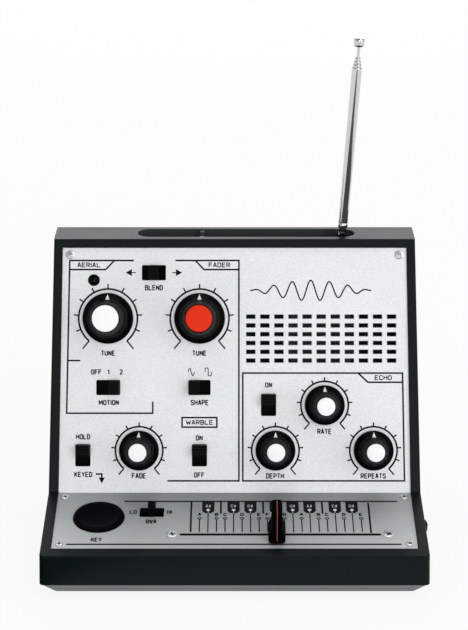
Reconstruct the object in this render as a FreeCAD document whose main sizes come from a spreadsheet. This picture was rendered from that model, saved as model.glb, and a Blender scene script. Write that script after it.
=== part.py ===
import FreeCAD, Part
# A table-top theremin: a sloping console with a folded metal panel, six rotary controls,
# seven slide switches, a long note slider, a round key and a folding telescopic antenna.
# Millimetres. +X right, +Y back, +Z up; the origin is on the table under the housing's middle.
import math
import os
import re
import Sketcher
from FreeCAD import Placement, Rotation, Vector

# Every word here is an alias in the sheet; lengths in mm and angles in degrees.
SIZES = {
    # housing
    "case_width": 191.4, "case_depth": 124, "case_base": 8.1, "case_top": 153,
    "side_draft": 1.33, "front_draft": 4, "front_height": 15.4, "rear_lean": 1,
    "wall": 2.4, "edge_round": 0.8, "corner_round": 2.5,
    # folded panel
    "crease_back": 56.4, "crease_rise": 22.9, "lower_slope": 9, "upper_slope": 69.5,
    "panel_thick": 1.2, "rim_proud": 1.2, "panel_gap": 0.25, "fold_round": 0.8,
    "panel_half": 90.1, "panel_top_half": 87.9, "upper_length": 125.4, "lower_length": 49.3,
    "ledge_wide": 6, "ledge_thick": 2.5, "board_drop": 12, "board_thick": 1.6,
    # rotary controls
    "shaft_radius": 3, "shaft_fit": 0.05, "shaft_hole": 3.7, "knob_bore": 3.02, "shaft_top": 12, "pot_side": 9.5,
    "pot_high": 6.8, "knob_gap": 0.7, "neck_taper": 1.6,
    "large_skirt": 13, "large_high": 23, "large_neck": 7.25, "large_cap": 6.75,
    "small_skirt": 10.2, "small_high": 18.5, "small_neck": 5.05, "small_cap": 4.6,
    "skirt_edge": 2, "cap_thick": 1, "cap_crown": 0.25,
    # slide switches
    "window_long": 12.3, "window_short": 11.4, "window_wide": 7.8, "window_round": 0.8, "lever_long": 5.5, "lever_wide": 7,
    "octave_long": 3.9, "long_throw": 3, "short_throw": 2.6, "lever_rise": 4.5, "lever_drop": 6, "switch_long": 15.5,
    "switch_wide": 9.8, "switch_high": 8.4,
    # note slider
    "slot_middle": 22.7, "slot_long": 100.2, "slot_wide": 1.8, "slot_down": 36.2, "note_step": 4.27,
    "fader_place": 20.9, "fader_gap": 1.1, "fader_high": 17.5, "fader_deep": 18, "fader_top_deep": 10.8,
    "fader_top_wide": 5.2, "fader_wide": 8.6, "tab_thick": 1.2, "tab_wide": 4,
    "track_long": 116, "track_wide": 9.5, "track_high": 8, "track_screw_span": 107.6,
    # key, lamp, grille and speaker
    "key_across": -68.2, "key_down": 21.8, "key_radius": 12.7, "key_hole": 13.05, "key_flange": 14.2,
    "key_rise": 1.2, "lamp_radius": 3, "grille_across": 8.3, "grille_up": 67.7,
    "grille_step": 7.21, "grille_rise": 4.5, "slit_long": 4.5, "slit_wide": 1.95,
    "speaker_radius": 25, "speaker_across": 44.4, "speaker_up": 79,
    # antenna and its groove
    "pivot_across": 55.4, "pivot_back": 49.1, "pivot_height": 151, "antenna_lean": 3.8,
    "groove_radius": 6.5, "groove_deep": 6.2, "groove_end": -43.5, "tube_radius": 2.5,
    "tube_wall": 0.3, "tube_fit": 0.08, "tube_start": 4.9, "tube_end": 89.5,
    "ring_step": 1.6, "stem_radius": 1.4, "stem_start": 3,
    "rod_radius": 0.78, "tip_radius": 2.7, "tip_start": 99.9, "antenna_long": 104.6,
    "ear_radius": 2.6, "ear_thick": 1.2, "tongue_thick": 1.8, "pin_radius": 0.9,
    # volume wheel
    "wheel_radius": 8, "wheel_thick": 2.4, "wheel_across": 89.4, "wheel_down": 20, "wheel_drop": 6.5,
    # base tray, battery bay and feet
    "foot_rise": 1.5, "foot_radius": 6, "foot_across": 74, "foot_back": 41, "tray_inset": 0.4,
    "tray_flare": 5.9, "floor_thick": 3, "lip_rise": 2, "bay_across": -20, "bay_wide": 62,
    "bay_front": -2, "bay_long": 54, "bay_high": 18, "door_edge": 3, "door_thin": 1.2,
    "door_thick": 2.4, "cell_radius": 7.1, "cell_long": 50,
}

CREASE_Y = "(crease_back - case_depth / 2)"
CREASE_Z = "(case_base + crease_rise)"
MIDDLE_SLOPE = "((lower_slope + upper_slope) / 2)"
HALF_FOLD = "((upper_slope - lower_slope) / 2)"

doc = FreeCAD.newDocument("theremin")
sheet = doc.addObject("Spreadsheet::Sheet", "Sizes")
for row, (alias, number) in enumerate(SIZES.items(), start=1):
    sheet.set(f"A{row}", alias)
    sheet.set(f"B{row}", str(number))
    sheet.setAlias(f"B{row}", alias)
doc.recompute()
PIECES = []


# ---- helpers ---------------------------------------------------------------------------------
def bound(text):
    """The text with each of the sheet's words written as Sizes.word."""
    return re.sub(r"[a-z_]{3,}", lambda w: f"Sizes.{w[0]}" if w[0] in SIZES else w[0], str(text))


def value(text):
    """The number that a text made of the sheet's words works out to."""
    result = sheet.evalExpression(bound(text))
    return float(getattr(result, "Value", result))


def place(x=0, y=0, z=0, turn=0, axis=(1, 0, 0)):
    """A placement whose numbers are texts of the sheet's words."""
    return Placement(Vector(value(x), value(y), value(z)), Rotation(Vector(*axis), value(turn)))


def crease_moved(offset):
    """Where the fold line lies when both faces of the panel are moved out by offset."""
    back = f"({CREASE_Y} - ({offset}) * sin({MIDDLE_SLOPE}) / cos({HALF_FOLD}))"
    high = f"({CREASE_Z} + ({offset}) * cos({MIDDLE_SLOPE}) / cos({HALF_FOLD}))"
    return back, high


UPPER = place(0, CREASE_Y, CREASE_Z, "upper_slope")
LOWER = place(0, CREASE_Y, CREASE_Z, "lower_slope")
LEAN = place("pivot_across", "pivot_back", "pivot_height", "antenna_lean", (0, 1, 0))


def new_body(label, placement=Placement()):
    """An empty body that becomes the part file of that name."""
    body = doc.addObject("PartDesign::Body", label)
    body.Label = label
    body.Placement = placement
    PIECES.append(body)
    return body


def sketch(body, name, role="XY_Plane", offset=Placement()):
    drawing = body.newObject("Sketcher::SketchObject", name)
    plane = next(f for f in body.Origin.OriginFeatures if f.Role == role)
    drawing.AttachmentSupport = (plane, [""])
    drawing.MapMode = "FlatFace"
    drawing.AttachmentOffset = offset
    return drawing


def pin(drawing, edge, end, x, y):
    """Holds one end of an edge at a place given by two texts."""
    for kind, text in (("DistanceX", x), ("DistanceY", y)):
        number = drawing.addConstraint(Sketcher.Constraint(kind, -1, 1, edge, end, value(text)))
        drawing.setExpression(f"Constraints[{number}]", bound(text))


def nearest_end(drawing, edge, point):
    """Arcs run anticlockwise in a sketch, so their first end is looked up."""
    return min((1, 2), key=lambda end: drawing.getPoint(edge, end).distanceToPoint(point))


def outline(drawing, corners):
    """A closed run of edges. A corner is (x, y), or (x, y, mx, my) where an arc through
    (mx, my) leads to the next corner; all are texts of the sheet's words."""
    points = [Vector(value(c[0]), value(c[1]), 0) for c in corners]
    edges = []
    for corner, start, end in zip(corners, points, points[1:] + points[:1]):
        if len(corner) == 4:
            middle = Vector(value(corner[2]), value(corner[3]), 0)
            edges.append(drawing.addGeometry(Part.Arc(start, middle, end), False))
        else:
            edges.append(drawing.addGeometry(Part.LineSegment(start, end), False))
    joints = []
    for edge, following, point in zip(edges, edges[1:] + edges[:1], points[1:] + points[:1]):
        ends = nearest_end(drawing, edge, point), nearest_end(drawing, following, point)
        joints.append(Sketcher.Constraint("Coincident", edge, ends[0], following, ends[1]))
    drawing.addConstraint(joints)
    for corner, edge, point in zip(corners, edges, points):
        pin(drawing, edge, nearest_end(drawing, edge, point), corner[0], corner[1])
        if len(corner) == 4:
            crown = drawing.addGeometry(Part.Point(Vector(value(corner[2]), value(corner[3]), 0)), True)
            pin(drawing, crown, 1, corner[2], corner[3])
            drawing.addConstraint(Sketcher.Constraint("PointOnObject", crown, 1, edge))


def circle(drawing, x, y, radius):
    ring = drawing.addGeometry(Part.Circle(Vector(value(x), value(y), 0), Vector(0, 0, 1),
                                           value(radius)), False)
    pin(drawing, ring, 3, x, y)
    number = drawing.addConstraint(Sketcher.Constraint("Radius", ring, value(radius)))
    drawing.setExpression(f"Constraints[{number}]", bound(radius))


def box(drawing, x, y, wide, high):
    """A rectangle about the point (x, y)."""
    left, right = f"{x} - ({wide}) / 2", f"{x} + ({wide}) / 2"
    low, top = f"{y} - ({high}) / 2", f"{y} + ({high}) / 2"
    outline(drawing, [(left, low), (right, low), (right, top), (left, top)])


def soft_box(drawing, x, y, wide, high, radius):
    """A rectangle about (x, y) with rounded corners."""
    half, tall, cut = f"({wide}) / 2", f"({high}) / 2", f"({radius}) * (1 - sin(45))"
    corners = []
    for sx, sy, level_first in ((1, -1, True), (1, 1, False), (-1, 1, True), (-1, -1, False)):
        near_side = f"{x} + {sx} * ({half} - {radius})", f"{y} + {sy} * {tall}"
        near_end = f"{x} + {sx} * {half}", f"{y} + {sy} * ({tall} - {radius})"
        middle = f"{x} + {sx} * ({half} - {cut})", f"{y} + {sy} * ({tall} - {cut})"
        start, end = (near_side, near_end) if level_first else (near_end, near_side)
        corners += [start + middle, end]
    outline(drawing, corners)


def stadium(drawing, x_left, x_right, y, radius):
    """A slot with round ends whose end circles are centred at x_left and x_right."""
    low, top = f"{y} - ({radius})", f"{y} + ({radius})"
    outline(drawing, [(x_left, low), (x_right, low, f"{x_right} + ({radius})", y),
                      (x_right, top), (x_left, top, f"{x_left} - ({radius})", y)])


def feature(body, kind, name, profile, **settings):
    """A PartDesign feature of one profile. A setting that is text follows the sheet."""
    made = body.newObject("PartDesign::" + kind, name)
    made.Profile = profile
    for prop, setting in settings.items():
        if isinstance(setting, str) and prop not in ("SideType", "Type"):
            made.setExpression(prop, bound(setting))
        else:
            setattr(made, prop, setting)
    doc.recompute()
    if kind in ("Pocket", "Groove") and made.Shape.Volume >= made.BaseFeature.Shape.Volume:
        raise RuntimeError(f"{body.Label}: {name} cuts nothing")
    return made


def revolved(body, name, profile, axis="V_Axis", kind="Revolution"):
    made = body.newObject("PartDesign::" + kind, name)
    made.Profile = profile
    made.ReferenceAxis = (profile, [axis])
    made.Angle = 360
    doc.recompute()
    return made


def rounded(body, name, radius, wanted, kind="Fillet"):
    """Rounds, or chamfers, the edges that wanted(edge) picks."""
    base = body.Tip
    names = [f"Edge{n}" for n, edge in enumerate(base.Shape.Edges, 1) if wanted(edge)]
    made = body.newObject("PartDesign::" + kind, name)
    made.Base = (base, names)
    made.setExpression("Radius" if kind == "Fillet" else "Size", bound(radius))
    doc.recompute()
    return made


def grouped(label, solids):
    """Like pieces that share a part file: separate solids side by side."""
    made = doc.addObject("Part::Feature", label)
    made.Label = label
    made.Shape = Part.makeCompound(solids)
    PIECES.append(made)
    return made


def turned(points, placement):
    """A solid of revolution about its own Z from (radius, height) texts."""
    wire = Part.makePolygon([Vector(value(r), 0, value(z)) for r, z in points + points[:1]])
    solid = Part.Face(wire).revolve(Vector(0, 0, 0), Vector(0, 0, 1), 360)
    solid = Part.makeSolid(solid) if solid.ShapeType != "Solid" else solid
    if solid.Volume < 0:
        solid.reverse()
    return solid.transformed(placement.toMatrix())


def block(placement, x, y, z, wide, deep, high):
    """A box about (x, y) standing on z, in the frame of a placement."""
    corner = Vector(value(x) - value(wide) / 2, value(y) - value(deep) / 2, value(z))
    solid = Part.makeBox(value(wide), value(deep), value(high), corner)
    return solid.transformed(placement.toMatrix())


def rod(placement, x, y, z, radius, high):
    """A cylinder standing on (x, y, z), in the frame of a placement."""
    foot = Vector(value(x), value(y), value(z))
    return Part.makeCylinder(value(radius), value(high), foot).transformed(placement.toMatrix())


# ---- where the controls are --------------------------------------------------------------------
# name: (across, up from the fold, size), on the upper slope
KNOBS = {
    "antenna_tuning": (-64.8, 89.3, "large"),
    "slide_tuning": (-17.9, 89.3, "large"),
    "decay": (-48.9, 21.7, "small"),
    "delay_time": (46.1, 44.9, "small"),
    "delay_level": (20.9, 21.7, "small"),
    "delay_feedback": (71.1, 21.7, "small"),
}
# name: (across, up, lies along X, window length, where the lever rests from the window's middle)
SWITCHES = {
    "blend": (-41.3, 112.7, True, "window_long", "0"),
    "modulation": (-64.7, 53.9, True, "window_long", "long_throw"),
    "waveform": (-18.0, 53.9, True, "window_short", "-short_throw"),
    "drone": (-77.7, 19.2, False, "window_short", "short_throw"),
    "vibrato": (-18.0, 19.2, False, "window_short", "short_throw"),
    "delay": (17.4, 45.0, False, "window_short", "short_throw"),
}
OCTAVE = (-41.7, -17.3)
PANEL_SCREWS_UPPER = [(-84.2, 121.9), (84.2, 121.9)]
PANEL_SCREWS_LOWER = [(-86.5, -4.2), (86.5, -4.2), (-86.5, -44.3), (86.5, -44.3)]
FEET = [(sx, sy) for sx in (-1, 1) for sy in (-1, 1)]
SOCKETS = {"phones": -62, "line": -42, "power": -20}
SOCKET_HEIGHT = 28


# ---- housing -----------------------------------------------------------------------------------
def housing():
    """Moulded shell: side profile, drafted sides, even wall, panel seat, groove and openings."""
    body = new_body("case_shell")
    rim_back, rim_high = crease_moved("rim_proud")
    side = sketch(body, "side_profile", "YZ_Plane")
    outline(side, [
        ("-case_depth / 2", "case_base"),
        ("-case_depth / 2 + front_height * tan(front_draft)", "case_base + front_height"),
        (rim_back, rim_high),
        (f"{rim_back} + (case_top - {rim_high}) / tan(upper_slope)", "case_top"),
        ("case_depth / 2 - rear_lean", "case_top"),
        ("case_depth / 2", "case_base"),
    ])
    feature(body, "Pad", "outer_form", side, Length="case_width", SideType="Symmetric")
    wedges = sketch(body, "side_wedges", "XZ_Plane")
    for s in (1, -1):
        outline(wedges, [
            (f"{s} * case_width / 2", "case_base"), (f"{s} * case_width", "case_base"),
            (f"{s} * case_width", "case_top + wall"),
            (f"{s} * (case_width / 2 - (case_top + wall - case_base) * tan(side_draft))",
             "case_top + wall"),
        ])
    feature(body, "Pocket", "side_drafts", wedges, Type="ThroughAll", SideType="Symmetric")

    base = body.Tip
    floor = [f"Face{n}" for n, face in enumerate(base.Shape.Faces, 1)
             if abs(face.CenterOfMass.z - value("case_base")) < 0.01]
    hollow = body.newObject("PartDesign::Thickness", "even_wall")
    hollow.Base = (base, floor)
    hollow.Reversed = True
    hollow.Join = 1
    hollow.setExpression("Value", bound("wall"))
    doc.recompute()

    top = value("case_top")
    rounded(body, "corner_rounds", "corner_round", lambda e: is_outer_corner(e, top))
    rounded(body, "front_rounds", "edge_round", is_front_edge)

    # ledges that carry the panel, inside the rim
    upper_out = [("-panel_half - 3", "-6"), ("panel_half + 3", "-6"),
                 ("panel_top_half + 2", "upper_length + 2.5"),
                 ("-panel_top_half - 2", "upper_length + 2.5")]
    upper_in = [("-panel_half + ledge_wide", "-7"), ("panel_half - ledge_wide", "-7"),
                ("panel_top_half - ledge_wide", "upper_length - ledge_wide"),
                ("-panel_top_half + ledge_wide", "upper_length - ledge_wide")]
    ledge_upper = sketch(body, "upper_ledge", offset=UPPER * place(0, 0, "-panel_thick"))
    outline(ledge_upper, upper_out)
    feature(body, "Pad", "upper_ledge_pad", ledge_upper, Length="ledge_thick", Reversed=True)
    ledge_lower = sketch(body, "lower_ledge", offset=LOWER * place(0, 0, "-panel_thick"))
    outline(ledge_lower, [("-panel_half - 3", "0"), ("-panel_half - 3", "-lower_length - 5"),
                          ("panel_half + 3", "-lower_length - 5"), ("panel_half + 3", "0")])
    feature(body, "Pad", "lower_ledge_pad", ledge_lower, Length="ledge_thick", Reversed=True)

    # the seat for the sheet, then the opening inside the ledges
    seat_upper = sketch(body, "upper_seat", offset=UPPER * place(0, 0, "-panel_thick"))
    outline(seat_upper, [
        ("-panel_half - panel_gap", "0"), ("panel_half + panel_gap", "0"),
        ("panel_top_half + panel_gap", "upper_length + panel_gap"),
        ("-panel_top_half - panel_gap", "upper_length + panel_gap")])
    feature(body, "Pocket", "upper_seat_cut", seat_upper, Length=8.0, Reversed=True)
    seat_lower = sketch(body, "lower_seat", offset=LOWER * place(0, 0, "-panel_thick"))
    outline(seat_lower, [
        ("-panel_half - panel_gap", "1.6"), ("-panel_half - panel_gap", "-lower_length - panel_gap"),
        ("panel_half + panel_gap", "-lower_length - panel_gap"), ("panel_half + panel_gap", "1.6")])
    feature(body, "Pocket", "lower_seat_cut", seat_lower, Length=8.0, Reversed=True)
    open_upper = sketch(body, "upper_opening", offset=UPPER * place(0, 0, "rim_proud"))
    outline(open_upper, upper_in)
    feature(body, "Pocket", "upper_opening_cut", open_upper, Length=10.0)
    open_lower = sketch(body, "lower_opening", offset=LOWER * place(0, 0, "rim_proud"))
    outline(open_lower, [
        ("-panel_half + ledge_wide", "6"), ("-panel_half + ledge_wide", "-lower_length + ledge_wide"),
        ("panel_half - ledge_wide", "-lower_length + ledge_wide"), ("panel_half - ledge_wide", "6")])
    feature(body, "Pocket", "lower_opening_cut", open_lower, Length=10.0)

    # trough for the folded antenna
    trough = sketch(body, "trough", offset=place(0, 0, "case_top - wall / 2"))
    stadium(trough, "groove_end", "pivot_across", "pivot_back", "groove_radius + wall")
    feature(body, "Pad", "trough_pad", trough, Length="groove_deep + wall / 2", Reversed=True)
    groove = sketch(body, "groove", offset=place(0, 0, "case_top"))
    stadium(groove, "groove_end", "pivot_across", "pivot_back", "groove_radius")
    feature(body, "Pocket", "groove_cut", groove, Length="groove_deep")
    bearing = sketch(body, "swivel_hole", offset=place(0, 0, "case_top"))
    circle(bearing, "pivot_across", "pivot_back", "ear_radius + 0.05")
    feature(body, "Pocket", "swivel_bore", bearing, Length=12.0)

    # the slot for the volume wheel, in the right wall
    slot = sketch(body, "wheel_slot", "YZ_Plane", Placement())
    slot.AttachmentOffset = Placement(Vector(LOWER.Base.y, LOWER.Base.z, value("case_width / 2 + 1")),
                                      Rotation(Vector(0, 0, 1), value("lower_slope")))
    box(slot, "-wheel_down", "-wheel_drop", "wheel_radius * 2 + 1", "wheel_thick + 0.9")
    feature(body, "Pocket", "wheel_slot_cut", slot, Length=7.0)

    # socket holes in the rear wall
    sockets = sketch(body, "socket_holes", "XZ_Plane", place(0, 0, "-case_depth / 2 - 1"))
    for name, across in SOCKETS.items():
        circle(sockets, across, SOCKET_HEIGHT, 4.6 if name == "power" else 3.2)
    feature(body, "Pocket", "socket_holes_cut", sockets, Length=6.0, Reversed=True)
    screw_holes(body)
    return body


def is_outer_corner(edge, top):
    """The top's side and rear edges and the four upright corners."""
    box_of = edge.BoundBox
    along_top = box_of.ZMin > top - 0.01
    rear = box_of.YMin > value("case_depth / 2 - rear_lean") - 0.01
    outer = abs(edge.CenterOfMass.x) > value("case_width / 2") - 3.1
    if along_top and (rear or outer):
        return True
    upright = box_of.ZMax - box_of.ZMin > 5 and outer
    return upright and (rear or box_of.YMax < value("-case_depth / 2 + 2"))


def is_front_edge(edge):
    """The housing's front rim edge, its top front edge and the rim's sloping side edges."""
    centre, box_of = edge.CenterOfMass, edge.BoundBox
    rim_back, rim_high = (value(text) for text in crease_moved("rim_proud"))
    level = box_of.ZMax - box_of.ZMin < 0.1 and box_of.XMax - box_of.XMin > value("case_width") - 12
    front_top = abs(centre.z - value("case_base + front_height")) < 0.1 and centre.y < -60
    top_front = abs(centre.z - value("case_top")) < 0.1 and centre.y < value("pivot_back - 5")
    if level and (front_top or top_front):
        return True
    side = abs(centre.x) > value("case_width / 2") - 3.1 and box_of.XMax - box_of.XMin < 3
    lower = abs(box_of.ZMax - rim_high) < 0.6 and box_of.YMax < rim_back + 0.5 and box_of.YMin > -61.5
    upper = abs(box_of.ZMin - rim_high) < 0.6 and box_of.YMin > rim_back - 0.5 and box_of.YMax < 45
    return side and (lower or upper) and box_of.ZMax - box_of.ZMin > 2


def screw_holes(body):
    """Holes for the panel's screws in the ledges."""
    for name, frame, spots in (("upper", UPPER, PANEL_SCREWS_UPPER), ("lower", LOWER, PANEL_SCREWS_LOWER)):
        holes = sketch(body, name + "_screw_holes", offset=frame * place(0, 0, "-panel_thick"))
        for across, up in spots:
            circle(holes, across, up, 0.95)
        feature(body, "Pocket", name + "_screw_bores", holes, Length="ledge_thick + 1")


def front_panel():
    """One folded sheet with every hole, window, slit and slot cut through it."""
    body = new_body("front_panel")
    back_y, back_z = crease_moved("-panel_thick")
    side = sketch(body, "fold_profile", "YZ_Plane")
    low_y = f"({CREASE_Y} - lower_length * cos(lower_slope))"
    low_z = f"({CREASE_Z} - lower_length * sin(lower_slope))"
    top_y = f"({CREASE_Y} + upper_length * cos(upper_slope))"
    top_z = f"({CREASE_Z} + upper_length * sin(upper_slope))"
    outline(side, [
        (low_y, low_z), (CREASE_Y, CREASE_Z), (top_y, top_z),
        (f"{top_y} + panel_thick * sin(upper_slope)", f"{top_z} - panel_thick * cos(upper_slope)"),
        (back_y, back_z),
        (f"{low_y} + panel_thick * sin(lower_slope)", f"{low_z} - panel_thick * cos(lower_slope)"),
    ])
    feature(body, "Pad", "sheet", side, Length="panel_half * 2", SideType="Symmetric")
    trims = sketch(body, "upper_trims", "XZ_Plane")
    for s in (1, -1):
        outline(trims, [
            (f"{s} * panel_half", CREASE_Z), (f"{s} * (panel_half + 5)", CREASE_Z),
            (f"{s} * (panel_half + 5)", "case_top"),
            (f"{s} * panel_top_half", top_z), (f"{s} * panel_half", CREASE_Z + " + 0.001")][:4])
    feature(body, "Pocket", "upper_taper", trims, Type="ThroughAll", SideType="Symmetric")
    fold = Vector(0, value(CREASE_Y), value(CREASE_Z))
    rounded(body, "fold_inside", "fold_round",
            lambda e: e.Length > 100 and abs(e.CenterOfMass.y - fold.y) < 0.1
            and abs(e.CenterOfMass.z - fold.z) < 0.1)

    upper = sketch(body, "upper_holes", offset=UPPER)
    for across, up, _ in KNOBS.values():
        circle(upper, across, up, "shaft_hole")
    circle(upper, -72.0, 108.9, "lamp_radius - 0.4")
    for across, up in PANEL_SCREWS_UPPER:
        circle(upper, across, up, 1.1)
    for across, up, level, long, _ in SWITCHES.values():
        wide, high = (long, "window_wide") if level else ("window_wide", long)
        soft_box(upper, across, up, wide, high, "window_round")
    feature(body, "Pocket", "upper_holes_cut", upper, Length=4.0, SideType="Symmetric")

    lower = sketch(body, "lower_holes", offset=LOWER)
    circle(lower, "key_across", "-key_down", "key_hole")
    soft_box(lower, OCTAVE[0], OCTAVE[1], "window_long", "window_wide", "window_round")
    stadium(lower, "slot_middle - slot_long / 2 + slot_wide / 2",
            "slot_middle + slot_long / 2 - slot_wide / 2", "-slot_down", "slot_wide / 2")
    for s in (-1, 1):
        circle(lower, f"slot_middle + {s} * track_screw_span / 2", "-slot_down", 1.6)
    for across, up in PANEL_SCREWS_LOWER:
        circle(lower, across, up, 1.1)
    feature(body, "Pocket", "lower_holes_cut", lower, Length=4.0, SideType="Symmetric")

    slit = sketch(body, "first_slit", offset=UPPER)
    box(slit, "grille_across", "grille_up", "slit_long", "slit_wide")
    first = feature(body, "Pocket", "first_slit_cut", slit, Length=4.0, SideType="Symmetric")
    grid = body.newObject("PartDesign::LinearPattern", "grille")
    grid.Originals = [first]
    grid.Direction = (slit, ["H_Axis"])
    grid.Occurrences = 11
    grid.setExpression("Length", bound("grille_step * 10"))
    grid.Direction2 = (slit, ["V_Axis"])
    grid.Occurrences2 = 6
    grid.setExpression("Length2", bound("grille_rise * 5"))
    body.Tip = grid
    doc.recompute()
    return body


# ---- rotary controls ---------------------------------------------------------------------------
def knob(name, across, up, size):
    """A knob with a flared skirt, its coloured cap and the pot's shaft, all turning together."""
    seat = UPPER * place(across, up, 0)
    skirt, high, neck, cap = (f"{size}_{word}" for word in ("skirt", "high", "neck", "cap"))
    body = new_body(name + "_knob", seat)
    profile = sketch(body, "profile", "XZ_Plane")
    flare_r = f"({neck} + neck_taper)"
    flare_z = f"(knob_gap + {high} * 0.42)"
    bow_r = f"({neck} + neck_taper + ({skirt} - {neck} - neck_taper) * 0.3)"
    bow_z = f"(knob_gap + skirt_edge + ({high} * 0.42 - skirt_edge) * 0.32)"
    outline(profile, [
        ("knob_bore", "shaft_top"), ("knob_bore", "knob_gap + 1.2"),
        (f"{skirt} - 1.6", "knob_gap + 1.2"), (f"{skirt} - 1.6", "knob_gap"),
        (skirt, "knob_gap"), (skirt, "knob_gap + skirt_edge - 0.4"),
        (f"{skirt} - 0.4", "knob_gap + skirt_edge", bow_r, bow_z),
        (flare_r, flare_z), (neck, f"{high} - 0.2"), (f"{neck} - 0.2", high),
        (cap, high), (cap, f"{high} - cap_thick"), (0, f"{high} - cap_thick"), (0, "shaft_top"),
    ])
    revolved(body, "turned_form", profile)

    disc = new_body(name + "_cap", seat)
    face = sketch(disc, "profile", "XZ_Plane")
    outline(face, [(0, f"{high} - cap_thick"), (cap, f"{high} - cap_thick"),
                   (cap, f"{high} - 0.1"), (f"{cap} - 0.4", f"{high} + cap_crown"), (0, f"{high} + cap_crown")])
    revolved(disc, "turned_form", face)

    shaft = new_body(name + "_shaft", seat)
    ring = sketch(shaft, "round", offset=place(0, 0, "-board_drop + 1.2"))
    circle(ring, 0, 0, "shaft_radius")
    feature(shaft, "Pad", "shaft", ring, Length="shaft_top + board_drop - 1.2")
    flat = sketch(shaft, "flat", offset=place(0, 0, "shaft_top"))
    box(flat, 0, "shaft_radius + 0.9", 8, 3)
    feature(shaft, "Pocket", "flat_cut", flat, Length="shaft_top - 3")


def potentiometers():
    """The fixed bodies of the six controls, soldered to the board, each with its bush."""
    solids = []
    for across, up, _ in KNOBS.values():
        seat = UPPER * place(across, up, 0)
        body = block(seat, 0, 0, "-board_drop", "pot_side", "pot_side + 1.6", "pot_high")
        body = body.fuse(rod(seat, 0, 0, "-board_drop", 3.4, "board_drop - panel_thick - 0.5"))
        body = body.cut(rod(seat, 0, 0, "-board_drop + 1", "shaft_radius + shaft_fit", 20))
        solids.append(body.removeSplitter())
    grouped("rotary_potentiometers", solids)


# ---- slide switches ----------------------------------------------------------------------------
def lever(name, seat, long, wide):
    """A ribbed finger lever: a stem through the window with five cross ribs on top."""
    body = new_body(name + "_lever", seat)
    foot = sketch(body, "foot", offset=place(0, 0, "-lever_drop"))
    soft_box(foot, 0, 0, long, wide, 0.6)
    feature(body, "Pad", "stem", foot, Length="lever_drop + lever_rise")
    ribs = sketch(body, "rib_gaps", "XZ_Plane")
    for n in (-1, 0, 1):
        box(ribs, f"{n} * ({long}) / 4", "lever_rise", 0.55, 1.2)
    feature(body, "Pocket", "rib_gaps_cut", ribs, Type="ThroughAll", SideType="Symmetric")


def switches():
    solids = []
    quarter = Placement(Vector(), Rotation(Vector(0, 0, 1), 90))
    for name, (across, up, level, _, rest) in SWITCHES.items():
        seat = UPPER * place(across, up, 0) * (Placement() if level else quarter)
        lever(name + "_switch", seat * place(rest, 0, 0), "lever_long", "lever_wide")
        solids.append(switch_case(seat))
    seat = LOWER * place(OCTAVE[0], OCTAVE[1], 0)
    lever("octave_switch", seat, "octave_long", "lever_wide")
    solids.append(switch_case(seat))
    grouped("slide_switch_bodies", solids)


def switch_case(seat):
    """An open-topped switch body that the lever's foot runs in."""
    body = block(seat, 0, 0, "-board_drop", "switch_long", "switch_wide", "switch_high")
    return body.cut(block(seat, 0, 0, "-lever_drop - 0.5", "window_long + 0.6", "lever_wide + 0.6", 9))


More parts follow.
